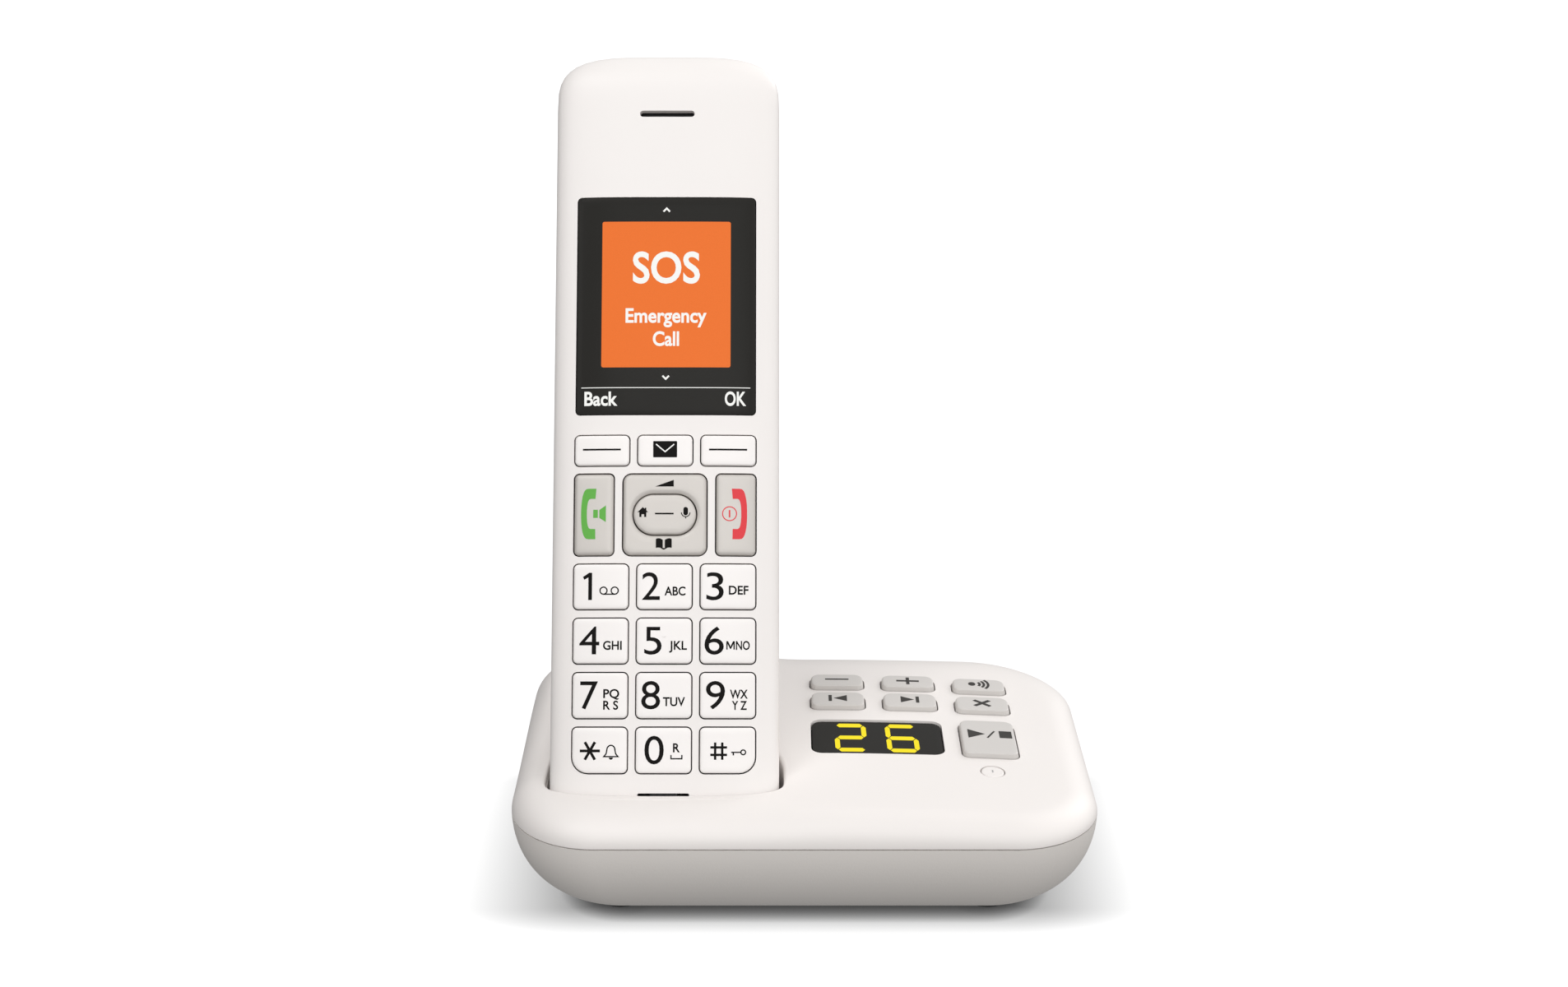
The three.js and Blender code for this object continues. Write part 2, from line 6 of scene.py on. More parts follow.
import bmesh
import bpy
from mathutils import Matrix, Vector
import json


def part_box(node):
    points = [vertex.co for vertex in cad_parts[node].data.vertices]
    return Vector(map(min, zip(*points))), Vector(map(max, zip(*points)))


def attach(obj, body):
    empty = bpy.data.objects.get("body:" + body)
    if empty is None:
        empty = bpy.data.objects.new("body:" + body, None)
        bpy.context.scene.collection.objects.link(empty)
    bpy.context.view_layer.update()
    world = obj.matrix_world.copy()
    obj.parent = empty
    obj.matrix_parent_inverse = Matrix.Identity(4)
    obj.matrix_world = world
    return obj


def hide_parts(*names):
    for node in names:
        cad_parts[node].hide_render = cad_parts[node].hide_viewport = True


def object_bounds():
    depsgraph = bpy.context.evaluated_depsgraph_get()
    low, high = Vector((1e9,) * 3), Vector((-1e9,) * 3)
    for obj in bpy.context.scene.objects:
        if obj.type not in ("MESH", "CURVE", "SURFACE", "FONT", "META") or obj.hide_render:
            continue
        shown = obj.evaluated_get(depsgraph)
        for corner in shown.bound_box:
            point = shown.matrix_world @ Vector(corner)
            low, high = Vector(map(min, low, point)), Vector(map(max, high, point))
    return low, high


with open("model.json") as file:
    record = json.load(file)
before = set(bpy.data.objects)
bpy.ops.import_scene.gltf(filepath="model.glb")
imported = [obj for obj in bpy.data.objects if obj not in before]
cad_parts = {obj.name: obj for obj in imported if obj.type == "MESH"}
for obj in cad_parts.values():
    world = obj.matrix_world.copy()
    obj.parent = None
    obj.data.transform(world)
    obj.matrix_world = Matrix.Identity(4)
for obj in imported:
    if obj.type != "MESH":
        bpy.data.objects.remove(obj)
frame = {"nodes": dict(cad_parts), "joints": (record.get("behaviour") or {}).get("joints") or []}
CAD_LO, CAD_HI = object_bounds()
MM = 0.001
SCENE = bpy.context.scene


# ---------------------------------------------------------------- frames of the two halves
def cad_points(node, turn=None):
    """The CAD node's vertices in millimetres, seen from a turned frame."""
    matrix = turn.inverted() if turn else Matrix.Identity(4)
    return [matrix @ vertex.co / MM for vertex in frame["nodes"][node].data.vertices]


def span(points):
    low = Vector([min(p[k] for p in points) for k in range(3)])
    high = Vector([max(p[k] for p in points) for k in range(3)])
    return low, high


lift = next(joint for joint in frame["joints"] if joint["name"] == "handset_lift")
RECLINE = math.atan2(lift["axis"][1], lift["axis"][2])
TURN = Matrix.Rotation(-RECLINE, 4, "X")
front_low, front_high = span(cad_points("handset_front_shell", TURN))
rear_low, rear_high = span(cad_points("handset_rear_shell", TURN))
HANDSET_ORIGIN = Vector(((front_low.x + front_high.x) / 2, front_low.y, rear_low.z))
HANDSET_PLACE = TURN @ Matrix.Translation(HANDSET_ORIGIN)

base_low, base_high = span(cad_points("base_lower_shell"))
BASE_FRONT = -54.0
BASE_PLACE = Matrix.Translation((0, base_low.y - BASE_FRONT, 0))


def handset_box(node):
    """Lowest and highest corners of a node in the handset's own frame."""
    low, high = span(cad_points(node, TURN))
    return low - HANDSET_ORIGIN, high - HANDSET_ORIGIN


def base_box(node):
    """Lowest and highest corners of a node in the base's own frame."""
    low, high = span(cad_points(node))
    return low - BASE_PLACE.translation, high - BASE_PLACE.translation


# ---------------------------------------------------------------- the camera
CAMERA_AT = Vector((-4.4, -451.35, 250.6))
CAMERA_DOWN = 20.5  # degrees below the horizontal

camera = bpy.data.objects.new("camera", bpy.data.cameras.new("camera"))
camera.data.lens = 50
camera.data.sensor_width = 36
camera.location = BASE_PLACE @ CAMERA_AT * MM
camera.rotation_euler = (math.radians(90 - CAMERA_DOWN), 0, 0)
SCENE.collection.objects.link(camera)
SCENE.camera = camera


# ---------------------------------------------------------------- driving dimensions
GAP = 0.3  # between pieces that meet
KEY_CLEARANCE = 0.27

HALF_WIDTH = (base_high.x - base_low.x) / 2
BASE_BACK = base_high.y - base_low.y + BASE_FRONT
FRONT_RADIUS = 19
BACK_RADIUS = 24
SEAM_Z = 23
FLOOR_Z = base_low.z
BASE_WALL = 2.0
BOTTOM_INSET = 18
SIDE_ROLL = 7
LEFT_ROLL = 5.6
FRONT_ROLL = 7
BACK_ROLL = 14
CRADLE_ROLL = 10
PLATEAU_Z = 29.5
CROWN = 0.00056
CRADLE_RISE = 4.2

BODY_HALF = (front_high.x - front_low.x) / 2
BODY_DEPTH = rear_high.y - front_low.y
BODY_LENGTH = rear_high.z - rear_low.z
WIDEST_Y = 6
TIP_Y = 11
SPLIT_Y = 10.5
TOP_ROUND = 13
END_ROUND = 9
OUTLINE_POWER = 3.2
FACE_POWER = 3.7
BACK_POWER = 2.8
BODY_WALL = 2.0
RIM_ROUND = 0.9
CUP_CLEARANCE = 1.0
CUP_SHIFT = Vector((0, 0.6, 0.7))  # the hollow is close in front and below


# ---------------------------------------------------------------- small mathematics
def smooth(t):
    c = min(1.0, max(0.0, t))
    return c * c * (3 - 2 * c)


def mix(a, b, t):
    return a + (b - a) * t


def signed_power(value, power):
    return math.copysign(abs(value) ** power, value)


def round_points(x, y, rx, ry, start, end, steps):
    """Points of an elliptical arc between two angles in degrees, both ends included."""
    angles = [math.radians(mix(start, end, i / steps)) for i in range(steps + 1)]
    return [(x + rx * math.cos(a), y + ry * math.sin(a)) for a in angles]


def middle_of(low, high, axes=(0, 1)):
    return tuple((low[k] + high[k]) / 2 for k in axes)


# ---------------------------------------------------------------- the faces that carry pieces
def plateau(x, y):
    """Height of the base's top at a point, before its shoulders roll down."""
    rise = CRADLE_RISE * smooth(-x / 32) * smooth((y + 34) / 40)
    return PLATEAU_Z - CROWN * x * x * smooth((x + 10) / 30) + rise


def bow(x, half_width, power):
    """How full the handset's section still is at a distance x from its middle, from 1 to 0."""
    return (1 - min(1.0, abs(x) / half_width) ** power) ** (1 / power)


def on_handset(x, z, rise):
    """A point that stands proud of the handset's front face by `rise`."""
    return Vector((x, WIDEST_Y - WIDEST_Y * bow(x, BODY_HALF, FACE_POWER) - rise, z))


def on_back(x, z, rise):
    """A point that stands proud of the handset's back by `rise`."""
    return Vector((x, mix(WIDEST_Y, BODY_DEPTH, bow(x, BODY_HALF, BACK_POWER)) + rise, z))


def on_base(x, y, rise):
    return Vector((x, y, plateau(x, y) + rise))


FRONTAL = (0, 2)  # the axes of a view from the front or the back
Face = namedtuple("Face", "place box axes surface")
HANDSET = Face(HANDSET_PLACE, handset_box, FRONTAL, on_handset)
HANDSET_BACK = Face(HANDSET_PLACE, handset_box, FRONTAL, on_back)
BASE = Face(BASE_PLACE, base_box, (0, 1), on_base)


# ---------------------------------------------------------------- meshes
def mesh_object(name, points, faces, place):
    mesh = bpy.data.meshes.new(name)
    mesh.from_pydata([place @ Vector(p) * MM for p in points], [], faces)
    mesh.validate()
    obj = bpy.data.objects.new(name, mesh)
    SCENE.collection.objects.link(obj)
    return obj


def stack(rings, close_first=True, close_last=True, fan=True):
    """Points and faces of a surface through rings that have the same count of points."""
    count = len(rings[0])
    points = [p for ring in rings for p in ring]
    faces = []
    for k in range(len(rings) - 1):
        for i in range(count):
            j = (i + 1) % count
            faces.append((k * count + i, k * count + j, (k + 1) * count + j, (k + 1) * count + i))
    last = (len(rings) - 1) * count
    if close_first:
        faces.append(tuple(reversed(range(count))))
    if close_last and fan:
        points.append(sum((Vector(p) for p in rings[-1]), Vector()) / count)
        faces += [(last + i, last + (i + 1) % count, len(points) - 1) for i in range(count)]
    elif close_last:
        faces.append(tuple(last + i for i in range(count)))
    return points, faces


def four(radii):
    return tuple(radii) if isinstance(radii, (tuple, list)) else (radii,) * 4


def outline(w, h, radii, steps=6, sides=1, centre=(0, 0)):
    """A rectangle with round corners as points, anticlockwise from its lower left corner."""
    radii = four(radii)
    signs = ((-1, -1), (1, -1), (1, 1), (-1, 1))
    ring = []

    def corner_point(k, angle):
        r = radii[k % 4]
        sx, sy = signs[k % 4]
        x = centre[0] + sx * (w / 2 - r) + r * math.cos(angle)
        return x, centre[1] + sy * (h / 2 - r) + r * math.sin(angle)

    for k in range(4):
        start = math.pi * (1 + k / 2)
        ring += [corner_point(k, start + i / steps * math.pi / 2) for i in range(steps + 1)]
        px, py = ring[-1]
        tx, ty = corner_point(k + 1, start + math.pi / 2)
        ring += [(mix(px, tx, s / sides), mix(py, ty, s / sides)) for s in range(1, sides)]
    return ring


def inset_outline(w, h, radii, inset, **more):
    kept = tuple(max(r - inset, 0.15) for r in four(radii))
    return outline(w - 2 * inset, h - 2 * inset, kept, **more)


def box_outline(low, high, grow, radii, axes=(0, 1), **more):
    """The rounded outline of a box seen along one axis, grown all round."""
    w, h = (high[k] - low[k] + 2 * grow for k in axes)
    grown = tuple(r + grow for r in four(radii))
    return outline(w, h, grown, centre=middle_of(low, high, axes), **more)


def cross_outline(w, h, line, turn=0.0, squash=1.0, centre=(0, 0)):
    """A cross of two bars as one outline, turned by an angle in degrees, then flattened."""
    a, b, c = w / 2, h / 2, line / 2
    ring = [(a, -c), (a, c), (c, c), (c, b), (-c, b), (-c, c), (-a, c), (-a, -c), (-c, -c),
            (-c, -b), (c, -b), (c, -c)]
    cos, sin = math.cos(math.radians(turn)), math.sin(math.radians(turn))
    return [
        (centre[0] + x * cos - y * sin, centre[1] + (x * sin + y * cos) * squash) for x, y in ring
    ]


def slot_outline(centre_z, w, h):
    return outline(w, h, h / 2 - 0.01, centre=(0, centre_z))


def prism(ring, low, high, axes=(0, 1)):
    """A straight prism: `ring` is its outline on two axes, and it runs along the third one."""
    upright = axes == (0, 1)
    rings = [
        [Vector((x, y, level) if upright else (x, level, y)) for x, y in ring]
        for level in (low, high)
    ]
    return stack(rings, fan=False)


def joined(parts):
    """Several (points, faces) as one."""
    points, faces = [], []
    for more_points, more_faces in parts:
        start = len(points)
        points += more_points
        faces += [tuple(start + i for i in face) for face in more_faces]
    return points, faces


def face_out(obj):
    work = bmesh.new()
    work.from_mesh(obj.data)
    bmesh.ops.recalc_face_normals(work, faces=work.faces)
    work.to_mesh(obj.data)
    work.free()


def apply_modifiers(obj):
    graph = bpy.context.evaluated_depsgraph_get()
    mesh = bpy.data.meshes.new_from_object(obj.evaluated_get(graph))
    old = obj.data
    obj.modifiers.clear()
    obj.data = mesh
    bpy.data.meshes.remove(old)


def cut(obj, prisms, place, operation="DIFFERENCE"):
    """Takes prisms out of a closed mesh, or keeps only what lies inside them."""
    other = mesh_object("cutters", *joined(prisms), place)
    face_out(obj)
    face_out(other)
    tool = obj.modifiers.new("cut", "BOOLEAN")
    tool.object = other
    tool.operation = operation
    tool.solver = "MANIFOLD"
    apply_modifiers(obj)
    bpy.data.objects.remove(other)


def shell_object(name, outer, inner, place):
    """A closed shell from the rings of its outer and of its inner side, which meet at ring 0."""
    points, faces = stack(outer, close_first=False)
    inner_points, inner_faces = stack(inner, close_first=False)
    start = len(points)
    count = len(outer[0])
    faces += [tuple(start + i for i in reversed(face)) for face in inner_faces]
    for i in range(count):
        j = (i + 1) % count
        faces.append((j, i, start + i, start + j))
    obj = mesh_object(name, points + inner_points, faces, place)
    face_out(obj)
    return obj


def finish_piece(obj, material, body, replaces=(), sharp=35):
    obj.data.materials.clear()
    obj.data.materials.append(material)
    obj.data.polygons.foreach_set("use_smooth", [True] * len(obj.data.polygons))
    obj.data.set_sharp_from_angle(angle=math.radians(sharp))
    obj.data.update()
    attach(obj, body)
    if replaces:
        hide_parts(*replaces)


# ---------------------------------------------------------------- materials
def new_material(name):
    material = bpy.data.materials.new(name)
    material.use_nodes = True
    tree = material.node_tree
    return material, tree, tree.nodes["Principled BSDF"]


def fill(tree, node, inputs):
    """Fills a node's sockets: each gets a value, or a link from another node's output."""
    for socket, value in inputs.items():
        if isinstance(value, bpy.types.NodeSocket):
            tree.links.new(value, node.inputs[socket])
        else:
            node.inputs[socket].default_value = value


def shader_node(tree, kind, inputs=None, **settings):
    """Adds a shader node and returns its outputs."""
    node = tree.nodes.new("ShaderNode" + kind)
    for name, value in settings.items():
        setattr(node, name, value)
    fill(tree, node, inputs or {})
    return node.outputs


def blend_colours(tree, factor, first, second):
    inputs = {"Factor": factor, "A": (*first, 1), "B": (*second, 1)}
    return shader_node(tree, "Mix", inputs, data_type="RGBA")["Result"]


def map_range(tree, source, into, out_of=(0, 1), kind="LINEAR"):
    """Maps an output from the range `out_of` to the range `into`."""
    inputs = {"Value": source, "From Min": out_of[0], "From Max": out_of[1],
              "To Min": into[0], "To Max": into[1]}
    return shader_node(tree, "MapRange", inputs, interpolation_type=kind)["Result"]


PATCH_SCALE = 22  # a moulding's slow change of tone, in patches per metre
PATCH_SHADE = 0.97
ROUGH_SPREAD = 0.04


def plastic(name, colour, roughness, grain_mm=0.5, grain_depth=0.02, metallic=0.0, specular=0.5):
    """Moulded plastic: a fine grain in its surface and a slight change of tone over it."""
    material, tree, shader = new_material(name)
    place = shader_node(tree, "TexCoord")["Object"]
    patches = {"Vector": place, "Scale": PATCH_SCALE, "Detail": 3}
    patch = shader_node(tree, "TexNoise", patches)["Fac"]
    grains = {"Vector": place, "Scale": 1 / (grain_mm * MM), "Detail": 2}
    grain = shader_node(tree, "TexNoise", grains)["Fac"]
    bumps = {"Strength": 1.0, "Distance": grain_depth * MM, "Height": grain}
    shaded = [c * PATCH_SHADE for c in colour]
    fill(tree, shader, {
        "Base Color": blend_colours(tree, patch, shaded, colour),
        "Roughness": map_range(tree, grain, (roughness - ROUGH_SPREAD, roughness + ROUGH_SPREAD)),
        "Normal": shader_node(tree, "Bump", bumps)["Normal"],
        "Metallic": metallic,
        "Specular IOR Level": specular,
    })
    return material


def lit(name, colour):
    """A lit part of a display: mostly its own light, with a faint cell structure."""
    material, tree, shader = new_material(name)
    place = shader_node(tree, "TexCoord")["Object"]
    cells = shader_node(tree, "TexVoronoi", {"Vector": place, "Scale": 5000})["Distance"]
    fill(tree, shader, {
        "Emission Color": blend_colours(tree, cells, colour, [c * 0.94 for c in colour]),
        "Base Color": (*[c * 0.1 for c in colour], 1),
        "Emission Strength": 0.9,
        "Roughness": 0.4,
        "Specular IOR Level": 0.1,
    })
    return material


WHITE = plastic("white_casing", (0.815, 0.779, 0.757), 0.42, 0.45, 0.006)
# the handset's white plastic made a little darker for the base: painted shade
BASE_WHITE_SHADED = plastic("base_casing_painted_shade", (0.78, 0.742, 0.718), 0.45, 0.45, 0.008)
# the casings' white plastic made darker for the lower casing: painted shade on the underside
HULL_PAINTED_SHADE = plastic("lower_casing_painted_shade", (0.7, 0.664, 0.63), 0.5, 0.42, 0.03)
KEY_WHITE = plastic("white_key", (0.86, 0.825, 0.805), 0.35, 0.5, 0.003)
SILVER = plastic("silver_key", (0.565, 0.533, 0.50), 0.42, 0.3, 0.003, metallic=0.15)
GREY = plastic("grey_key", (0.565, 0.54, 0.517), 0.36, 0.4, 0.004)
INK = plastic("black_ink", (0.007, 0.006, 0.0055), 0.5, 0.3, 0.002, specular=0.06)
GREY_INK = plastic("grey_ink", (0.04, 0.037, 0.034), 0.5, 0.3, 0.002, specular=0.15)
FAINT_INK = plastic("faint_ink", (0.35, 0.35, 0.35), 0.5, 0.3, 0.002)
GREEN_INK = plastic("green_ink", (0.09, 0.39, 0.035), 0.5, 0.3, 0.002)
RED_INK = plastic("red_ink", (0.7, 0.018, 0.03), 0.5, 0.3, 0.002)
GLASS = plastic("dark_window", (0.0225, 0.0215, 0.0195), 0.25, 6.0, 0.004, specular=0.04)
RUBBER = plastic("rubber", (0.03, 0.03, 0.03), 0.8, 0.6, 0.05)
DARK = plastic("dark_plastic", (0.03, 0.03, 0.03), 0.45, 0.4, 0.01)
BRASS = plastic("contact_metal", (0.72, 0.53, 0.24), 0.25, 0.3, 0.002, metallic=1.0)
STEEL = plastic("screw_steel", (0.45, 0.45, 0.46), 0.3, 0.25, 0.004, metallic=1.0)
CELL = plastic("cell_sleeve", (0.05, 0.26, 0.16), 0.35, 0.8, 0.004)
BOARD = plastic("circuit_board", (0.015, 0.09, 0.04), 0.4, 0.6, 0.01)
PANEL = lit("panel_orange", (0.87, 0.18, 0.028))
SCREEN_WHITE = lit("panel_white", (0.95, 0.95, 0.92))
SEGMENT = lit("segment_yellow", (0.98, 0.80, 0.012))
SCREEN_INK = plastic("white_ink", (0.85, 0.84, 0.82), 0.5, 0.3, 0.002)


# ---------------------------------------------------------------- printed marks
def letters_mesh(words, weight, depth):
    """Vertices and faces of flat words in the built-in typeface at size 1, `depth` thick."""
    curve = bpy.data.curves.new("letters", "FONT")
    curve.body = words
    curve.offset = weight
    curve.resolution_u = 5
    curve.extrude = depth / 2
    obj = bpy.data.objects.new("letters", curve)
    SCENE.collection.objects.link(obj)
    bpy.context.view_layer.update()
    graph = bpy.context.evaluated_depsgraph_get()
    mesh = bpy.data.meshes.new_from_object(obj.evaluated_get(graph))
    points = [v.co.copy() for v in mesh.vertices]
    faces = [tuple(face.vertices) for face in mesh.polygons]
    bpy.data.objects.remove(obj)
    bpy.data.curves.remove(curve)
    bpy.data.meshes.remove(mesh)
    return points, faces


capital_low, capital_high = span(letters_mesh("H", 0, 0.1)[0])
CAPITAL = capital_high.y - capital_low.y  # height of a capital at size 1


class Legend:
    """Flat marks drawn in a plane, then laid on a surface as thin raised ink."""

    INK_LOW = -0.12
    INK_HIGH = 0.03
    PIECE = 0.8  # the longest stretch of ink across that stays straight

    def __init__(self, lift=0.0):
        self.parts = []
        self.lift = lift

    def polygon(self, points):
        ring = [Vector((x, y)) for x, y in points]
        area = sum(a.x * b.y - b.x * a.y for a, b in zip(ring, ring[1:] + ring[:1]))
        ring = ring if area > 0 else ring[::-1]
        self.parts.append(prism(ring, self.INK_LOW, self.INK_HIGH))
        return self

    def bar(self, x, y, w, h, r=0.06):
        return self.polygon(outline(w, h, min(r, w / 3, h / 3), steps=2, centre=(x, y)))

    def disc(self, x, y, rx, ry=None, steps=24):
        last = 360 * (1 - 1 / steps)
        return self.polygon(round_points(x, y, rx, ry or rx, 0, last, steps - 1))

    def cross(self, *sizes):
        return self.polygon(cross_outline(*sizes))

    def stroke(self, points, width):
        """A line of constant width with mitred bends and square ends, as one outline."""
        line = [Vector(p) for p in points]
        closed = (line[0] - line[-1]).length < 1e-6
        line = line[:-1] if closed else line
        count = len(line)
        left, right = [], []
        for i, p in enumerate(line):
            before = (p - line[i - 1]).normalized() if i or closed else None
            after = (line[(i + 1) % count] - p).normalized() if i + 1 < count or closed else None
            along = ((before or after) + (after or before)).normalized()
            across = Vector((-along.y, along.x))
            reach = width / 2 / max(0.35, along.dot(after or before))
            left.append(p + across * reach)
            right.append(p - across * reach)
        if not closed:
            return self.polygon(left + right[::-1])
        loop = ((left, self.INK_LOW), (left, self.INK_HIGH), (right, self.INK_HIGH),
                (right, self.INK_LOW), (left, self.INK_LOW))
        rings = [[Vector((p.x, p.y, z)) for p in side] for side, z in loop]
        self.parts.append(stack(rings, close_first=False, close_last=False))
        return self

    def arc(self, x, y, r, start, end, width, steps=18):
        return self.stroke(round_points(x, y, r, r, start, end, steps), width)

    def text(self, words, x, y, height, width, weight=0.0, align="LEFT"):
        """Words whose capitals are `height` tall, squeezed or spread to `width`."""
        depth = self.INK_HIGH - self.INK_LOW
        points, faces = letters_mesh(words, weight, depth)
        low, high = span(points)
        tall = height / CAPITAL
        wide = width / (high.x - low.x)
        start = x - {"LEFT": 0, "CENTER": 0.5, "RIGHT": 1}[align] * width
        middle = (self.INK_HIGH + self.INK_LOW) / 2
        moved = [
            Vector((start + (p.x - low.x) * wide, y + p.y * tall, p.z + middle)) for p in points
        ]
        self.parts.append((moved, faces))
        return self

    def lay(self, name, face, centre, rise, material, body, slot):
        """Lays the marks on a face, around a centre on it."""
        points, faces = joined(self.parts)
        obj = mesh_object(name, [p / MM for p in points], faces, Matrix.Identity(4))
        work = bmesh.new()
        work.from_mesh(obj.data)
        bmesh.ops.remove_doubles(work, verts=work.verts, dist=1e-4)
        low, high = span([v.co for v in work.verts])
        for k in range(math.ceil(low.x / self.PIECE), math.floor(high.x / self.PIECE) + 1):
            bmesh.ops.bisect_plane(
                work,
                geom=work.verts[:] + work.edges[:] + work.faces[:],
                plane_co=(k * self.PIECE, 0, 0),
                plane_no=(1, 0, 0),
            )
        for v in work.verts:
            x, y, z = v.co
            above = rise + self.lift + z
            v.co = face.place @ face.surface(centre[0] + x, centre[1] + y, above) * MM
        bmesh.ops.recalc_face_normals(work, faces=work.faces)
        work.to_mesh(obj.data)
        work.free()
        finish_piece(obj, material, body)


# ---------------------------------------------------------------- the base's casings
RING_CORNER = 20
RING_SIDE = 22


def plan_ring(inset, front_inset, back_inset, corner_inset):
    """The base's outline seen from above, drawn in by these amounts."""
    front, back = BASE_FRONT + front_inset, BASE_BACK - back_inset
    front_r, back_r = FRONT_RADIUS - corner_inset, BACK_RADIUS - corner_inset
    radii = (front_r, front_r, back_r, back_r)
    centre = (0, (front + back) / 2)
    return outline(2 * (HALF_WIDTH - inset), back - front, radii, RING_CORNER, RING_SIDE, centre)


def shoulder_ring(angle, wall):
    """A ring of the upper casing, from its foot (0) up to the edge of its plateau (90 degrees)."""
    t = 1 - math.cos(angle)
    side = wall + SIDE_ROLL * t
    raised = []
    for x, y in plan_ring(side, wall + FRONT_ROLL * t, wall + BACK_ROLL * t, side):
        wider = (CRADLE_ROLL - FRONT_ROLL) * smooth((8 - x) / 24)
        back = y + wider * t * smooth((-30 - y) / 15)
        left = x - (SIDE_ROLL - LEFT_ROLL) * t * smooth((-30 - x) / 20)
        top = plateau(left, back) - wall
        raised.append(Vector((left, back, mix(SEAM_Z, top, math.sin(angle)))))
    return raised


def body_section(turn, offset):
    """A point of the handset's section at an angle, with its outside grown by `offset`."""
    front = math.sin(turn) < 0
    power = 2 / (FACE_POWER if front else BACK_POWER)
    reach = (WIDEST_Y if front else BODY_DEPTH - WIDEST_Y) + offset
    x = (BODY_HALF + offset) * signed_power(math.cos(turn), power)
    y = WIDEST_Y + reach * signed_power(math.sin(turn), power)
    return x, y


def body_point(turn, offset, scale, z):
    """A point of the handset's outside, its section shrunk towards the tip's middle."""
    x, y = body_section(turn, offset)
    return Vector((x * scale, mix(TIP_Y, y, scale), z))


def tip_station(degrees, length):
    """The scale of the handset's section, and how far it is along a rounded end of that length."""
    a = math.radians(degrees)
    power = 2 / OUTLINE_POWER
    return math.cos(a) ** power, length * math.sin(a) ** power


def hollow_point(turn, along, wall, scale=1.0):
    """A point of the cradle's hollow, or `wall` outside it, in the base's frame."""
    local = body_point(turn, CUP_CLEARANCE + wall, scale, along) + CUP_SHIFT
    return BASE_PLACE.inverted() @ (HANDSET_PLACE @ local)


def rim_point(turn, wall):
    """Where the hollow's wall meets the base's top: the distance along the wall, and the point."""
    low, high = 0.0, 60.0
    for _ in range(40):
        middle = (low + high) / 2
        p = hollow_point(turn, middle, wall)
        if p.z < plateau(p.x, p.y) - wall:
            low = middle
        else:
            high = middle
    return low, hollow_point(turn, low, wall)


def matched_turns(edge, wall):
    """For each point of the plateau's edge, the turn of the rim's point that it looks towards."""
    samples = 720
    turns = [2 * math.pi * i / samples for i in range(samples)]
    rim = [rim_point(turn, wall)[1] for turn in turns]
    centre = sum(rim, Vector()) / samples
    headings = []
    for p in rim:
        heading = math.atan2(p.y - centre.y, p.x - centre.x)
        while headings and heading < headings[-1] - math.pi:
            heading += 2 * math.pi
        headings.append(heading)
    first = headings[0]
    headings.append(first + 2 * math.pi)

    def turn_towards(p):
        heading = first + (math.atan2(p.y - centre.y, p.x - centre.x) - first) % (2 * math.pi)
        for i in range(samples):
            if headings[i] <= heading < headings[i + 1]:
                part = (heading - headings[i]) / max(headings[i + 1] - headings[i], 1e-9)
                return turns[i] + part * 2 * math.pi / samples
        return turns[0]

    return [turn_towards(p) for p in edge]


SHOULDER_STEPS = 14
PLATEAU_STEPS = 26
FILLET_STEPS = 6
LOWER_STEPS = 22


def upper_sheet(wall):
    """Rings from the upper casing's foot over its top and down into the hollow."""
    rings = [[Vector((p.x, p.y, SEAM_Z + GAP / 2)) for p in shoulder_ring(0, wall)]]
    for k in range(1, SHOULDER_STEPS + 1):
        rings.append(shoulder_ring(math.pi / 2 * k / SHOULDER_STEPS, wall))
    edge = rings[-1]
    matched = matched_turns(edge, wall)
    meets = [rim_point(turn, wall) for turn in matched]

    def on_top(x, y):
        return Vector((x, y, plateau(x, y) - wall))

    outer = []
    for p, (_, q) in zip(edge, meets):
        away = Vector((p.x - q.x, p.y - q.y, 0)).normalized()
        outer.append(on_top(q.x + away.x * RIM_ROUND, q.y + away.y * RIM_ROUND))
    for k in range(1, PLATEAU_STEPS + 1):
        t = k / PLATEAU_STEPS
        rings.append([on_top(mix(p.x, q.x, t), mix(p.y, q.y, t)) for p, q in zip(edge, outer)])
    wall_down = HANDSET_PLACE.to_3x3() @ Vector((0, 0, -RIM_ROUND))
    for k in range(1, FILLET_STEPS + 1):
        t = k / FILLET_STEPS
        rings.append([
            a * (1 - t) ** 2 + q * 2 * t * (1 - t) + (q + wall_down) * t * t
            for a, (_, q) in zip(outer, meets)
        ])
    for part in (0.75, 0.5, 0.25, 0.0):
        rings.append([
            hollow_point(turn, mix(END_ROUND, along - RIM_ROUND, part), wall)
            for turn, (along, _) in zip(matched, meets)
        ])
    for degrees in (15, 30, 45, 60, 72, 82, 88):
        scale, reach = tip_station(degrees, END_ROUND + CUP_CLEARANCE + wall)
        rings.append([hollow_point(turn, END_ROUND - reach, wall, scale) for turn in matched])
    return rings


def lower_sheet(wall):
    """Rings from the lower casing's rim down its curved sides and across its floor."""
    rings = []
    for k in range(LOWER_STEPS + 1):
        a = math.pi / 2 * k / LOWER_STEPS
        drawn_in = BOTTOM_INSET * (1 - math.cos(a))
        inset = wall + drawn_in
        z = SEAM_Z - (SEAM_Z - FLOOR_Z - wall) * math.sin(a) if k else SEAM_Z - GAP / 2
        ring = plan_ring(inset, inset, inset, wall + drawn_in * 0.5)
        rings.append([Vector((x, y, z)) for x, y in ring])
    middle = (BASE_FRONT + BASE_BACK) / 2
    for scale in (0.8, 0.55, 0.3):
        ring = [Vector((x * scale, mix(middle, y, scale), z)) for x, y, z in rings[LOWER_STEPS]]
        rings.append(ring)
    return rings


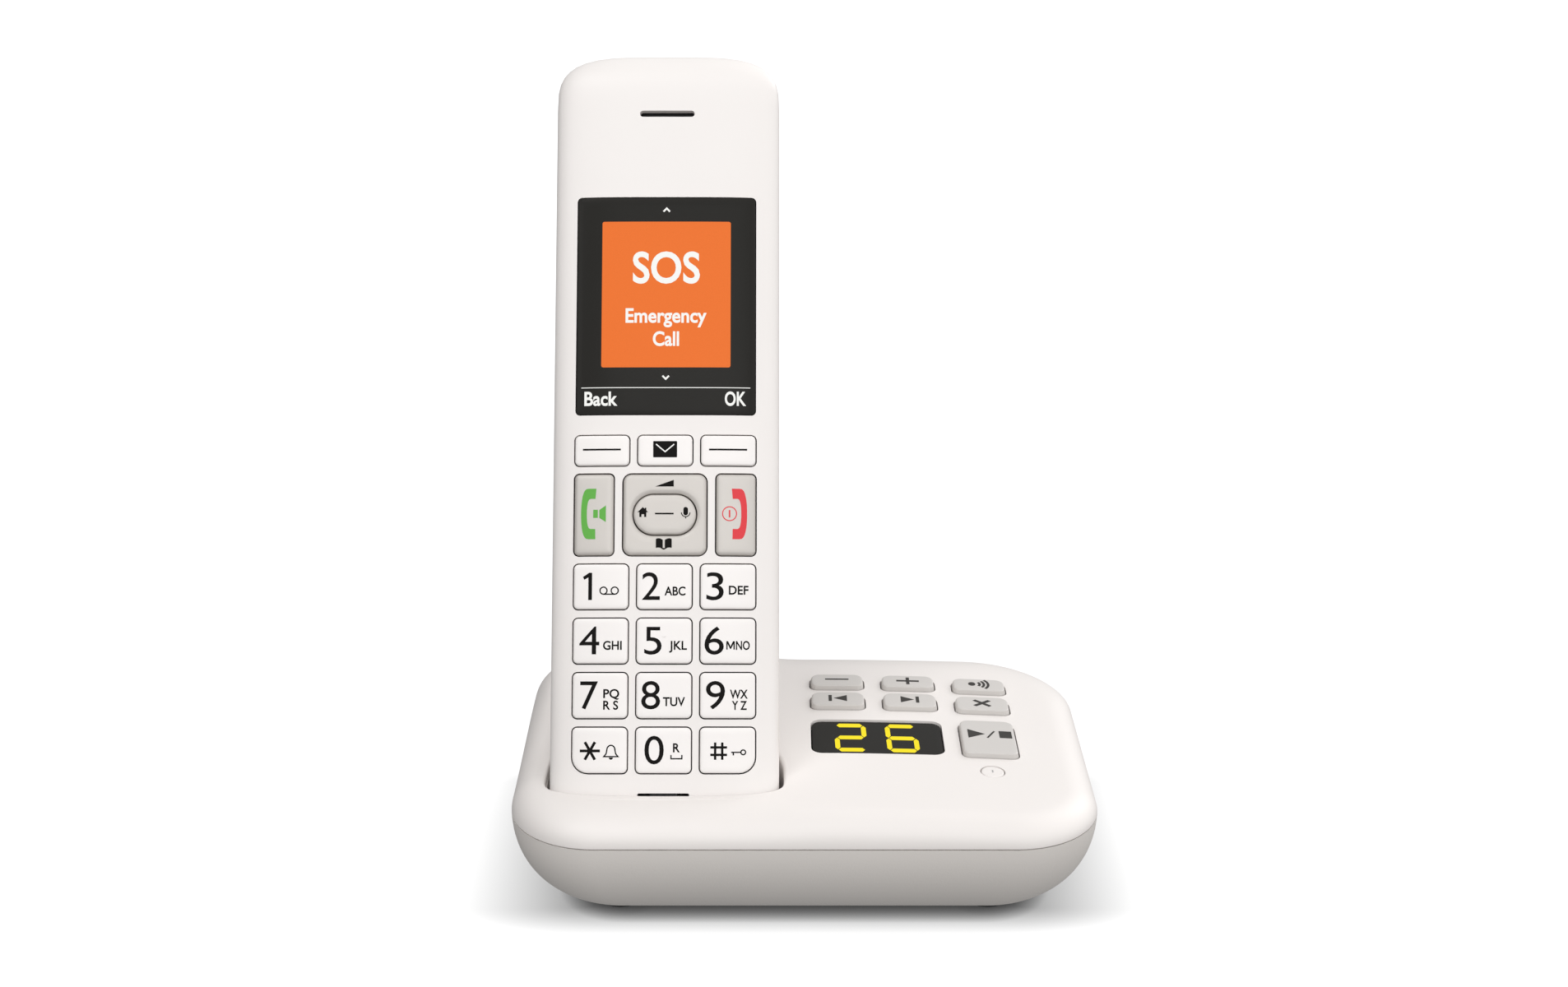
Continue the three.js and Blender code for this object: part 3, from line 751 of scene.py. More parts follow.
BASE_KEYS = ["base_key_" + name for name in
             ("volume_down", "volume_up", "page", "previous", "next", "delete", "play_stop")]
BASE_KEY_RADII = (1.6, 1.6, 2.3, 2.3)
WINDOW_RADIUS = 2.2
ROUND_KEY = "base_key_answer_onoff"
round_low, round_high = base_box(ROUND_KEY)
ROUND_RADIUS = (round_high.x - round_low.x) / 2 - 0.01
THROUGH_TOP = (18, 45)  # heights that the holes in the base's top span
THROUGH_FLOOR = (-1, 5)  # and those in its underside
PIN_RADIUS = 0.3

upper = shell_object("base_upper", upper_sheet(0.0), upper_sheet(BASE_WALL), BASE_PLACE)
holes = [box_outline(*base_box(node), KEY_CLEARANCE, BASE_KEY_RADII) for node in BASE_KEYS]
holes.append(box_outline(*base_box("base_display_window"), GAP, WINDOW_RADIUS))
holes.append(box_outline(round_low, round_high, 0.25, ROUND_RADIUS, steps=12))
cut(upper, [prism(ring, *THROUGH_TOP) for ring in holes], BASE_PLACE)
pins = [handset_box(f"cradle_contact_{side}") for side in ("left", "right")]
cut(upper, [prism(box_outline(low, high, GAP, PIN_RADIUS, steps=3), low.z, high.z + 1)
            for low, high in pins], HANDSET_PLACE)
finish_piece(upper, BASE_WHITE_SHADED, "base", ["base_upper_shell"])

SOCKETS = {"line_socket": 4, "power_socket": 2}  # how many wires each one has
SCREW_NODES = [f"base_screw_{i}" for i in (1, 2, 3, 4)]
SCREW_WELL = 6.2
SPEAKER_RADIUS = 13
SPEAKER_PITCH = 3.2
SPEAKER_SLOT = 1.6

lower = shell_object("base_lower", lower_sheet(0.0), lower_sheet(BASE_WALL), BASE_PLACE)
cutters = []
for node in SOCKETS:
    low, high = base_box(node)
    ring = box_outline(low, high, GAP, 0.4, FRONTAL, steps=2)
    cutters.append(prism(ring, low.y - GAP, high.y + 5, FRONTAL))
speaker_x, speaker_y = middle_of(*base_box("base_speaker"))
for row in range(-3, 4):
    shift = row * SPEAKER_PITCH
    half = math.sqrt(SPEAKER_RADIUS**2 - shift**2)
    centre = (speaker_x, speaker_y + shift)
    ring = outline(2 * half, SPEAKER_SLOT, SPEAKER_SLOT / 2 - 0.01, steps=5, centre=centre)
    cutters.append(prism(ring, *THROUGH_FLOOR))
for node in SCREW_NODES:
    centre = middle_of(*base_box(node))
    ring = outline(SCREW_WELL, SCREW_WELL, SCREW_WELL / 2 - 0.01, steps=8, centre=centre)
    cutters.append(prism(ring, *THROUGH_FLOOR))
cut(lower, cutters, BASE_PLACE)
finish_piece(lower, HULL_PAINTED_SHADE, "base", ["base_lower_shell"])


def screw(node):
    """A screw that points up, with a rounded head and a cross recess."""
    low, high = base_box(node)
    x, y = middle_of(low, high)
    head = (high.x - low.x) / 2
    profile = [(head * 0.62, low.z), (head * 0.86, low.z + 0.14), (head * 0.97, low.z + 0.42),
               (head, low.z + 0.75), (head, low.z + 2.3), (1.25, low.z + 2.3),
               (1.25, high.z - 0.8), (0.7, high.z)]
    turn = [2 * math.pi * i / 32 for i in range(32)]
    rings = [[Vector((x + r * math.cos(a), y + r * math.sin(a), z)) for a in turn]
             for r, z in profile]
    obj = mesh_object("cap_" + node, *stack(rings), BASE_PLACE)
    cross = cross_outline(3.0, 3.0, 0.62, 20, centre=(x, y))
    cut(obj, [prism(cross, low.z - 1, low.z + 1.1)], BASE_PLACE)
    finish_piece(obj, STEEL, "base", [node])


def wire(name, x, path, radius):
    """A round wire that stays at one x and follows (y, z) points, inside a socket."""
    rings = []
    for i, (y, z) in enumerate(path):
        before, after = path[max(i - 1, 0)], path[min(i + 1, len(path) - 1)]
        along = Vector((after[0] - before[0], after[1] - before[1])).normalized()
        ring = []
        for k in range(10):
            a = 2 * math.pi * k / 10
            side, up = radius * math.cos(a), radius * math.sin(a)
            ring.append(Vector((x + side, y - up * along.y, z + up * along.x)))
        rings.append(ring)
    obj = mesh_object(name, *stack(rings), BASE_PLACE)
    face_out(obj)
    finish_piece(obj, BRASS, "base")


WIRE_PITCH = 1.27
WIRE_RADIUS = 0.22
# a wire's bends: how far into the socket, and how far above its middle
WIRE_PATH = [(3.1, 1.2), (5, 1.0), (9.4, -1.6), (9.8, -2.2), (9.4, -2.7), (8.6, -2.8)]

for node in SCREW_NODES:
    screw(node)
for node, count in SOCKETS.items():
    low, high = base_box(node)
    middle_x, middle_z = middle_of(low, high, FRONTAL)
    path = [(low.y + inside, middle_z + above) for inside, above in WIRE_PATH]
    for i in range(count):
        x = middle_x + (i - (count - 1) / 2) * WIRE_PITCH
        wire(f"wire_{node}_{i + 1}", x, path, WIRE_RADIUS)


# ---------------------------------------------------------------- keys and windows
def pillow(name, face, box, radii, profile, material, body, slot, replaces=(),
           inner=(0.86, 0.72, 0.58, 0.44, 0.3, 0.15), steps=6, sides=8):
    """A key: rounded rings by (inset, rise above its face), then a gently crowned top."""
    low, high = box
    a, b = face.axes
    w, h = high[a] - low[a], high[b] - low[b]
    cx, cy = middle_of(low, high, face.axes)
    more = {"steps": steps, "sides": sides, "centre": (cx, cy)}
    rings = []
    for inset, rise in profile:
        flat = inset_outline(w, h, radii, inset, **more)
        rings.append([face.surface(x, y, rise) for x, y in flat])
    for scale in inner:
        rings.append([face.surface(mix(cx, x, scale), mix(cy, y, scale), rise) for x, y in flat])
    obj = mesh_object(name, *stack(rings), face.place)
    face_out(obj)
    finish_piece(obj, material, body, replaces, sharp=50)


def cap(face, node, radii, profile, material, slot, body=None, **more):
    """A pillow that stands for a CAD node and moves with the body of that name."""
    pillow("cap_" + node, face, face.box(node), radii, profile, material, body or node, slot,
           [node], **more)


def rounded_edge(top, r, steps=4):
    """(inset, rise) pairs round an edge of radius r that ends at height `top`."""
    return [
        (r * (1 - math.cos(a)), top - r * (1 - math.sin(a)))
        for a in (math.pi / 2 * i / steps for i in range(steps + 1))
    ]


CALL_KEYS = ["talk_key", "end_key"]
FRONT_KEYS = [f"key_{i}" for i in range(10)]
FRONT_KEYS += ["key_star", "key_hash", "softkey_left", "message_key", "softkey_right"]
FRONT_KEYS += CALL_KEYS
KEY_R = 1.0
LARGE_R = 3.4
KEY_RADII = {"key_star": (LARGE_R, KEY_R, KEY_R, KEY_R), "key_hash": (KEY_R, LARGE_R, KEY_R, KEY_R)}
NAV_R = 1.8
KEY_DEEP = -3.5
KEY_PROUD = 0.45
KEY_TOP = KEY_PROUD + 0.03  # the middle of a key stands a little higher than its edge
KEY_EDGE = 0.4
SILVER_EDGE = 0.75

for node in FRONT_KEYS:
    silver = node in CALL_KEYS
    edge = SILVER_EDGE if silver else KEY_EDGE
    profile = [(0, KEY_DEEP)] + rounded_edge(KEY_PROUD, edge) + [(edge + 0.6, KEY_TOP)]
    finish = (SILVER, "silver_key") if silver else (KEY_WHITE, "white_key")
    cap(HANDSET, node, KEY_RADII.get(node, KEY_R), profile, *finish)


def nav_ring(node, oval_node):
    """The square ring key: a rounded outer edge, a shallow dish and an oval hole."""
    low, high = handset_box(node)
    oval_low, oval_high = handset_box(oval_node)
    w, h = high.x - low.x, high.z - low.z
    hole_w = oval_high.x - oval_low.x + 2 * KEY_CLEARANCE
    hole_h = oval_high.z - oval_low.z + 2 * KEY_CLEARANCE
    more = {"steps": 12, "sides": 4, "centre": middle_of(low, high, FRONTAL)}

    def ring(inset, rise):
        return [on_handset(x, z, rise) for x, z in inset_outline(w, h, NAV_R, inset, **more)]

    def hole(grow, rise):
        r = hole_h / 2 + grow - 0.01
        flat = outline(hole_w + 2 * grow, hole_h + 2 * grow, r, **more)
        return [on_handset(x, z, rise) for x, z in flat]

    rings = [ring(0, KEY_DEEP)] + [ring(*pair) for pair in rounded_edge(KEY_PROUD, SILVER_EDGE)]
    flat, dish_start = rings[-1], hole(0.9, KEY_PROUD)
    rings += [[p.lerp(q, t) for p, q in zip(flat, dish_start)] for t in (0.25, 0.5, 0.75, 1.0)]
    dish = ((0.6, 0.05), (0.3, 0.2), (0.08, 0.3), (0, 0.42))
    rings += [hole(grow, KEY_PROUD - drop) for grow, drop in dish]
    rings.append(hole(0, KEY_DEEP))
    points, faces = stack(rings, close_first=False, close_last=False)
    count = len(flat)
    last = (len(rings) - 1) * count
    faces += [(last + i, last + (i + 1) % count, (i + 1) % count, i) for i in range(count)]
    obj = mesh_object("cap_" + node, points, faces, HANDSET_PLACE)
    face_out(obj)
    finish_piece(obj, SILVER, node, [node], sharp=50)


OVAL_TOP = KEY_PROUD + 0.16
oval_low, oval_high = handset_box("nav_center_key")
oval_profile = [(0, KEY_DEEP)] + rounded_edge(KEY_PROUD + 0.1, 0.5) + [(1.2, OVAL_TOP)]
nav_ring("nav_ring_key", "nav_center_key")
cap(HANDSET, "nav_center_key", (oval_high.z - oval_low.z) / 2 - 0.01, oval_profile, SILVER,
    "silver_key", steps=12)

BASE_KEY_PROUD = 1.15
KEY_SLOPE = 0.2  # how far a base key's sides lean in
base_profile = [(0, KEY_DEEP), (0.0, -0.1), (KEY_SLOPE / 2, 0.3)]
base_profile += [(KEY_SLOPE + inset, rise) for inset, rise in rounded_edge(BASE_KEY_PROUD, 0.34, 5)]
base_profile += [(1.1, BASE_KEY_PROUD + 0.02)]
for node in BASE_KEYS:
    cap(BASE, node, BASE_KEY_RADII, base_profile, GREY, "grey_key", steps=8)
cap(BASE, ROUND_KEY, ROUND_RADIUS, [(0, -5)] + rounded_edge(0.0, 0.25), BASE_WHITE_SHADED,
    "white_casing", steps=12)


def window(face, node, radius, body, sunk):
    profile = [(0, -1.4)] + rounded_edge(-sunk, 0.2, 3)
    cap(face, node, radius, profile, GLASS, "dark_glass", body,
        inner=[1 - i / 16 for i in range(1, 16)], sides=20)


SCREEN_R = 0.9
COUNTER_SUNK = 0.35
window(HANDSET, "display_window", SCREEN_R, "handset", 0.0)
window(BASE, "base_display_window", WINDOW_RADIUS, "base", COUNTER_SUNK)


# ---------------------------------------------------------------- marks on the handset
def print_on(face, node, name, legend, material, rise, slot="dark_plastic", body=None):
    """Lays marks round the middle of a node; they move with the body of that name."""
    centre = middle_of(*face.box(node), face.axes)
    legend.lay(name, face, centre, rise, material, body or node, slot)


def print_key(node, legend, material=INK, rise=KEY_TOP):
    print_on(HANDSET, node, "legend_" + node, legend, material, rise)


DIGIT_H = 5.85
DIGIT_BASE = -2.85
LETTER_H = 1.8
LETTER_BASE = -1.85
LETTER_WEIGHT = 0.02
LINE = 0.27
# node: digit, its left edge and width, then rows of letters with left edge, width and baseline
KEY_WORDS = {
    "key_2": ("2", -4.75, 3.8, [("ABC", 0.05, 4.5, LETTER_BASE)]),
    "key_3": ("3", -4.6, 3.7, [("DEF", 0.2, 4.2, LETTER_BASE + 0.2)]),
    "key_4": ("4", -4.5, 4.3, [("GHI", 0.6, 4.0, LETTER_BASE)]),
    "key_5": ("5", -4.2, 3.7, [("JKL", 1.1, 3.8, LETTER_BASE)]),
    "key_6": ("6", -4.95, 4.1, [("NO", 1.75, 2.95, LETTER_BASE)]),
    "key_7": ("7", -4.2, 3.8, [("PQ", 0.75, 3.4, -0.5), ("R S", 0.75, 3.2, -2.95)]),
    "key_8": ("8", -4.75, 4.0, [("TUV", -0.15, 4.7, LETTER_BASE - 0.35)]),
    "key_9": ("9", -4.6, 4.05, [("WX", 0.5, 3.8, -0.6), ("Y Z", 0.9, 3.2, -3.0)]),
    "key_0": ("0", -4.0, 4.1, [("R", 2.05, 1.45, -0.35)]),
}


def letter_m(legend, left, baseline):
    """A capital M, which the built-in typeface can't thicken."""
    h, w, s = LETTER_H, 1.8, 0.28
    middle = w / 2
    ring = [(0, 0), (0, h), (0.38, h), (middle, 0.66), (w - 0.38, h), (w, h), (w, 0), (w - s, 0),
            (w - s, h - 0.62), (middle + 0.1, 0.16), (middle - 0.1, 0.16), (s, h - 0.62), (s, 0)]
    legend.polygon([(left + x, baseline + y) for x, y in ring])


for node, (digit, left, width, rows) in KEY_WORDS.items():
    legend = Legend().text(digit, left, DIGIT_BASE, DIGIT_H, width)
    for words, letters_left, letters_width, baseline in rows:
        legend.text(words, letters_left, baseline, LETTER_H, letters_width, LETTER_WEIGHT)
    if node == "key_6":
        letter_m(legend, -0.3, LETTER_BASE)
    if node == "key_0":
        legend.stroke([(1.65, -0.95), (1.65, -1.75), (3.95, -1.75), (3.95, -0.95)], LINE)
    print_key(node, legend)

one = Legend().polygon([(-1.88, -2.85), (-1.88, 3.0), (-2.5, 3.0), (-3.85, 2.1), (-3.55, 1.5),
                        (-2.68, 2.0), (-2.68, -2.85)])
for x in (0.6, 3.0):
    one.arc(x, -0.85, 0.76, 0, 360, LINE)
one.bar(1.8, -1.62, 2.4, LINE)
print_key("key_1", one)

star_points = []
for arm in range(6):
    a = math.radians(60 * arm)
    along, across = Vector((math.cos(a), math.sin(a))), Vector((-math.sin(a), math.cos(a)))
    star_points += [along * 2.15 - across * 0.29, along * 2.15 + across * 0.29]
    star_points.append(Vector((math.cos(a + math.pi / 6), math.sin(a + math.pi / 6))) * 0.58)
star = Legend().polygon([(-2.0 + p.x, -0.1 + p.y) for p in star_points])
bell = [(0.98, -1.3), (4.0, -1.3), (3.5, -0.7)]
bell += round_points(2.49, 0.1, 0.86, 0.98, 0, 180, 12)
bell += [(1.48, -0.7), (0.98, -1.3)]
star.stroke(bell, LINE)
star.polygon(round_points(2.49, -1.5, 0.45, 0.45, 180, 360, 9))
print_key("key_star", star)

sharp_sign = Legend()
for shift in (-0.75, 0.75):
    sharp_sign.bar(-1.85 + shift, -0.15, 0.5, 3.65)
    sharp_sign.bar(-1.85, -0.15 + shift * 1.05, 3.55, 0.5)
sharp_sign.arc(3.35, -0.4, 0.5, 0, 360, LINE)
sharp_sign.bar(1.85, -0.4, 2.1, LINE)
sharp_sign.bar(1.25, -0.75, 0.3, 0.6)
print_key("key_hash", sharp_sign)

# the raised dot beside the 5
dot = Legend(lift=0.12).disc(0.1, 1.15, 0.33, steps=16)
print_on(HANDSET, "key_5", "dot_key_5", dot, KEY_WHITE, KEY_TOP, "white_key")

for node in ("softkey_left", "softkey_right"):
    print_key(node, Legend().bar(-0.05, 0.19, 8.2, 0.38, 0.03))
print_key("message_key", Legend().bar(0, 0.25, 5.15, 3.53, 0.15))
flap = Legend(lift=0.02).stroke([(-1.95, 1.35), (0.0, -0.3), (1.95, 1.35)], 0.26)
print_on(HANDSET, "message_key", "flap_message_key", flap, SCREEN_INK, KEY_TOP, "white_key")


def receiver(side, shift):
    """A telephone receiver seen from the side, its back towards -side."""
    def curve(x, y, w, h, power, start, end, steps):
        return [(x + w * signed_power(px, power), y + h * signed_power(py, 0.9))
                for px, py in round_points(0, 0, 1, 1, start, end, steps)]

    points = curve(-1.17, 0, 1.6, 5.45, 0.75, 90, 270, 15)
    points += [(0.38, -5.45), (0.33, -3.25)]
    points += curve(-0.72, 0, 0.8, 3.25, 0.8, 270, 90, 9)
    points += [(0.33, 3.25), (0.52, 5.45)]
    return [(side * (x + shift), y + 0.16) for x, y in points]


talk = Legend().polygon(receiver(1, 0.0)).bar(0.37, 0.18, 1.0, 1.76, 0.03)
talk.polygon([(1.19, 1.0), (2.6, 2.0), (2.6, -1.62), (1.19, -0.7)])
print_key("talk_key", talk, GREEN_INK)
end = Legend().polygon(receiver(-1, 0.34)).arc(-1.34, 0.2, 1.5, 0, 360, 0.22, steps=36)
end.bar(-1.34, 0.2, 0.33, 1.6)
print_key("end_key", end, RED_INK)

ring_marks = Legend().polygon([(-2.05, 6.08), (1.9, 6.08), (1.9, 7.5)])
for side in (-1, 1):
    page = [(0.22, -5.45), (0.75, -5.15), (1.25, -5.1), (1.7, -5.25), (1.7, -7.2),
            (1.25, -7.1), (0.75, -7.15), (0.22, -7.5)]
    ring_marks.polygon([(-0.17 + side * x, y) for x, y in page])
ring_marks.polygon([(-0.5, -7.2), (0.16, -7.2), (0.0, -7.55), (-0.34, -7.55)])
print_key("nav_ring_key", ring_marks)

oval_marks = Legend().bar(-0.1, 0.19, 4.0, 0.34, 0.03)
oval_marks.polygon([(-5.85, 0.5), (-4.7, 1.6), (-3.55, 0.5)])
oval_marks.polygon([(-3.95, 1.45), (-3.95, 0.8), (-4.3, 1.15), (-4.3, 1.45)])
oval_marks.polygon([(-5.45, 0.6), (-3.95, 0.6), (-3.95, -0.55), (-4.42, -0.55), (-4.42, 0.05),
                    (-4.98, 0.05), (-4.98, -0.55), (-5.45, -0.55)])
oval_marks.polygon(outline(0.98, 1.8, 0.48, steps=5, centre=(4.5, 0.72)))
oval_marks.arc(4.5, 0.45, 0.92, 180, 360, 0.2)
oval_marks.bar(4.5, -0.68, 0.2, 0.36, 0.02)
print_key("nav_center_key", oval_marks, rise=OVAL_TOP)


# ---------------------------------------------------------------- the handset's screen
def print_screen(name, legend, material):
    print_on(HANDSET, "display_window", name, legend, material, 0.0, "dark_glass", "handset")


WORD_WEIGHT = 0.024
_, SCREEN_Z = middle_of(*handset_box("display_window"), FRONTAL)
print_screen("screen_panel", Legend().bar(0.0, 118.3 - SCREEN_Z, 28.0, 32.2, 0.4), PANEL)
words = Legend(lift=0.015)
words.text("SOS", 0, 120.9 - SCREEN_Z, 6.6, 14.6, 0.02, "CENTER")
words.text("Emergency", 0, 112.1 - SCREEN_Z, 3.0, 17.6, WORD_WEIGHT, "CENTER")
words.text("Call", 0, 107.0 - SCREEN_Z, 3.0, 5.7, WORD_WEIGHT, "CENTER")
for flip, z in ((0.35, 137.0), (-0.35, 100.0)):
    y = z - SCREEN_Z
    words.stroke([(-0.7, y - flip), (0, y + flip), (0.7, y - flip)], 0.38)
words.bar(0, 97.75 - SCREEN_Z, 36.6, 0.16, 0.02)
words.text("Back", -17.6, 93.9 - SCREEN_Z, 2.9, 7.2, WORD_WEIGHT)
words.text("OK", 17.4, 93.9 - SCREEN_Z, 2.9, 4.6, WORD_WEIGHT, "RIGHT")
print_screen("screen_words", words, SCREEN_WHITE)


# ---------------------------------------------------------------- marks on the base
def skip_mark(side):
    """A triangle that points to a bar, towards `side`."""
    mark = Legend().bar(side * 1.75, 0.1, 0.76, 3.1, 0.05)
    return mark.polygon([(-side * 2.1, 1.65), (-side * 2.1, -1.45), (side * 0.95, 0.1)])


page_mark = Legend().disc(-1.55, 0.1, 0.85, 0.95)
for r in (1.35, 2.35, 3.35):
    page_mark.arc(-1.05, 0.1, r, -42, 42, 0.6)
play_mark = Legend().polygon([(-4.5, 3.3), (-4.5, -0.9), (-0.7, 1.2)])
play_mark.stroke([(-0.25, -0.6), (1.5, 2.7)], 0.42)
play_mark.bar(3.9, 1.2, 2.8, 3.3, 0.05)
# in the order of BASE_KEYS
BASE_MARKS = [Legend().bar(0, 0.2, 5.5, 0.62), Legend().cross(5.3, 3.6, 0.78), page_mark,
              skip_mark(-1), skip_mark(1), Legend().cross(5.0, 5.0, 0.95, 45, 0.82), play_mark]
for node, mark in zip(BASE_KEYS, BASE_MARKS):
    print_on(BASE, node, "mark_" + node, mark, GREY_INK, BASE_KEY_PROUD + 0.03)
print_on(BASE, ROUND_KEY, "mark_" + ROUND_KEY, Legend().bar(0, 0.2, 0.3, 1.1), FAINT_INK, 0.0)

# two figures of seven bars; the letters name the bars that are lit
FIGURE_W = 7.2
FIGURE_H = 13.6
BAR_ACROSS = 1.75  # thickness of the level bars
BAR_UP = 1.1  # and of the upright ones
BAR_GAP = 0.16
LEAN = -0.02


def figure(legend, centre_x, lit_bars):
    w, h = FIGURE_W / 2 - BAR_UP / 2, FIGURE_H / 2 - BAR_ACROSS / 2
    ends = {
        "a": ((-w, h), (w, h)),
        "b": ((w, h), (w, 0)),
        "c": ((w, 0), (w, -h)),
        "d": ((-w, -h), (w, -h)),
        "e": ((-w, 0), (-w, -h)),
        "f": ((-w, h), (-w, 0)),
        "g": ((-w, 0), (w, 0)),
    }
    for bar in lit_bars:
        thick, slant = (BAR_ACROSS, BAR_UP) if bar in "adg" else (BAR_UP, BAR_ACROSS)
        start, stop = Vector(ends[bar][0]), Vector(ends[bar][1])
        along = (stop - start).normalized()
        across = Vector((-along.y, along.x)) * thick / 2
        bevel = along * slant / 2
        start += along * BAR_GAP
        stop -= along * BAR_GAP
        ring = [start, start + bevel + across, stop - bevel + across,
                stop, stop - bevel - across, start + bevel - across]
        legend.polygon([(centre_x + p.x + LEAN * p.y, p.y) for p in ring])


counter = Legend()
figure(counter, -5.9, "abged")
figure(counter, 5.6, "acdefg")
print_on(BASE, "base_display_window", "counter_figures", counter, SEGMENT, -COUNTER_SUNK,
         "dark_glass", "base")


# ---------------------------------------------------------------- the handset's casings
BODY_TURNS = 160
TIP_ANGLES = (89, 86, 82, 77, 71, 64, 56, 48, 40, 32, 24, 16, 8, 0)


def body_surface(inset):
    """The handset's whole outside as a closed sheet, its section shrunk by `inset`."""
    stations = []
    for degrees in TIP_ANGLES:
        scale, reach = tip_station(degrees, END_ROUND)
        stations.append((END_ROUND - reach, scale))
    for degrees in reversed(TIP_ANGLES):
        scale, reach = tip_station(degrees, TOP_ROUND)
        stations.append((BODY_LENGTH - TOP_ROUND + reach, scale))
    turns = [2 * math.pi * (i + 0.5) / BODY_TURNS for i in range(BODY_TURNS)]
    rings = [[body_point(turn, -inset, scale, z) for turn in turns] for z, scale in stations]
    obj = mesh_object("body", *stack(rings[::-1]), HANDSET_PLACE)
    face_out(obj)
    return obj


def body_half(front, wall, inset=0.0):
    """The front or the back half of the handset's outside, as a sheet with a wall behind it."""
    obj = body_surface(inset)
    y = SPLIT_Y + (-GAP / 2 if front else GAP / 2)
    work = bmesh.new()
    work.from_mesh(obj.data)
    bmesh.ops.bisect_plane(
        work,
        geom=work.verts[:] + work.edges[:] + work.faces[:],
        plane_co=HANDSET_PLACE @ Vector((0, y, 0)) * MM,
        plane_no=HANDSET_PLACE.to_3x3() @ Vector((0, 1, 0)),
        clear_outer=front,
        clear_inner=not front,
    )
    work.to_mesh(obj.data)
    work.free()
    tool = obj.modifiers.new("wall", "SOLIDIFY")
    tool.thickness = wall * MM
    tool.offset = -1
    tool.use_even_offset = True
    apply_modifiers(obj)
    return obj


EAR_SLOT = (158.6, 12, 1.4)
MIC_SLOT = (10.4, 11, 0.7)
AHEAD = -4.0  # in front of the handset, and BEHIND is behind it
BEHIND = 30
KEY_CUT, EAR_CUT, MIC_CUT = 8, 6, 4  # how deep the holes in the front casing go
COVER_FROM = SPLIT_Y + 3

front = body_half(True, BODY_WALL)
holes = [box_outline(*handset_box(node), KEY_CLEARANCE, KEY_RADII.get(node, KEY_R), FRONTAL)
         for node in FRONT_KEYS]
holes.append(box_outline(*handset_box("nav_ring_key"), KEY_CLEARANCE, NAV_R, FRONTAL))
holes.append(box_outline(*handset_box("display_window"), GAP / 2, SCREEN_R, FRONTAL))
cutters = [prism(ring, AHEAD, KEY_CUT, FRONTAL) for ring in holes]
cutters.append(prism(slot_outline(*EAR_SLOT), AHEAD, EAR_CUT, FRONTAL))
cutters.append(prism(slot_outline(*MIC_SLOT), AHEAD, MIC_CUT, FRONTAL))
cut(front, cutters, HANDSET_PLACE)
finish_piece(front, WHITE, "handset", ["handset_front_shell"])

COVER_R = 4
COVER_BOX = handset_box("battery_cover")


def cover_prism(grow, start):
    """The battery cover's outline, grown all round, as a prism that runs out of the back."""
    return prism(box_outline(*COVER_BOX, grow, COVER_R, FRONTAL), start, BEHIND, FRONTAL)


SOUND_SLOTS_Z = 130
SOUND_PITCH = 3
SOUND_SLOT = (12, 1.3)
SOUND_CUT = 20
rear = body_half(False, BODY_WALL)
cutters = [cover_prism(GAP, COVER_FROM)]
for i in range(-2, 3):
    slot = slot_outline(SOUND_SLOTS_Z + SOUND_PITCH * i, *SOUND_SLOT)
    cutters.append(prism(slot, SOUND_CUT, BEHIND, FRONTAL))
for side in ("left", "right"):
    low, high = handset_box(f"handset_contact_{side}")
    cutters.append(prism(box_outline(low, high, GAP, PIN_RADIUS, steps=3), -1, high.z + 1))
cut(rear, cutters, HANDSET_PLACE)
finish_piece(rear, WHITE, "handset", ["handset_rear_shell"])

# the ledge that the cover rests on
LEDGE_UNDER = 2.05
LEDGE_WALL = 1.3
LEDGE_OUT, LEDGE_IN = 2.2, 1.8  # how far it reaches either way from the cover's edge
ledge = body_half(False, LEDGE_WALL, LEDGE_UNDER)
cut(ledge, [cover_prism(LEDGE_OUT, COVER_FROM)], HANDSET_PLACE, "INTERSECT")
cut(ledge, [cover_prism(-LEDGE_IN, SPLIT_Y)], HANDSET_PLACE)
ledge.name = "cover_ledge"
finish_piece(ledge, WHITE, "handset")

# the open tray for the two cells
TRAY_W, TRAY_H, TRAY_WALL = 26.2, 50.5, 1.5
TRAY_FLOOR, TRAY_RIM = 11.6, 21.4
cover_low, cover_high = COVER_BOX
tray_middle = (0, (cover_low.z + cover_high.z) / 2 + 0.25)
ring = outline(TRAY_W, TRAY_H, 1.4, centre=tray_middle)
tray = mesh_object("cell_tray", *prism(ring, SPLIT_Y + 0.2, TRAY_RIM, FRONTAL), HANDSET_PLACE)
ring = outline(TRAY_W - 2 * TRAY_WALL, TRAY_H - 2 * TRAY_WALL, 0.6, centre=tray_middle)
cut(tray, [prism(ring, TRAY_FLOOR, BEHIND, FRONTAL)], HANDSET_PLACE)
finish_piece(tray, WHITE, "handset")

COVER_WALL = 1.7
cover = body_half(False, COVER_WALL)
cut(cover, [cover_prism(0, COVER_FROM)], HANDSET_PLACE, "INTERSECT")
cover.name = "cover_battery"
finish_piece(cover, WHITE, "battery_cover", ["battery_cover"])
# five ridges on the cover, each shorter than the one above it
GRIP_PROFILE = [(0, -0.25), (0.03, 0.1), (0.14, 0.26), (0.3, 0.34)]
GRIP_H = 1.0
GRIP_PITCH = 2.1
for i in range(5):
    z = cover_high.z - 6 - GRIP_PITCH * i
    half = 7.5 - 0.9 * i
    box = (Vector((-half, 0, z - GRIP_H / 2)), Vector((half, 0, z + GRIP_H / 2)))
    pillow(f"grip_{i + 1}", HANDSET_BACK, box, 0.45, GRIP_PROFILE, WHITE, "battery_cover",
           "white_casing", sides=14)

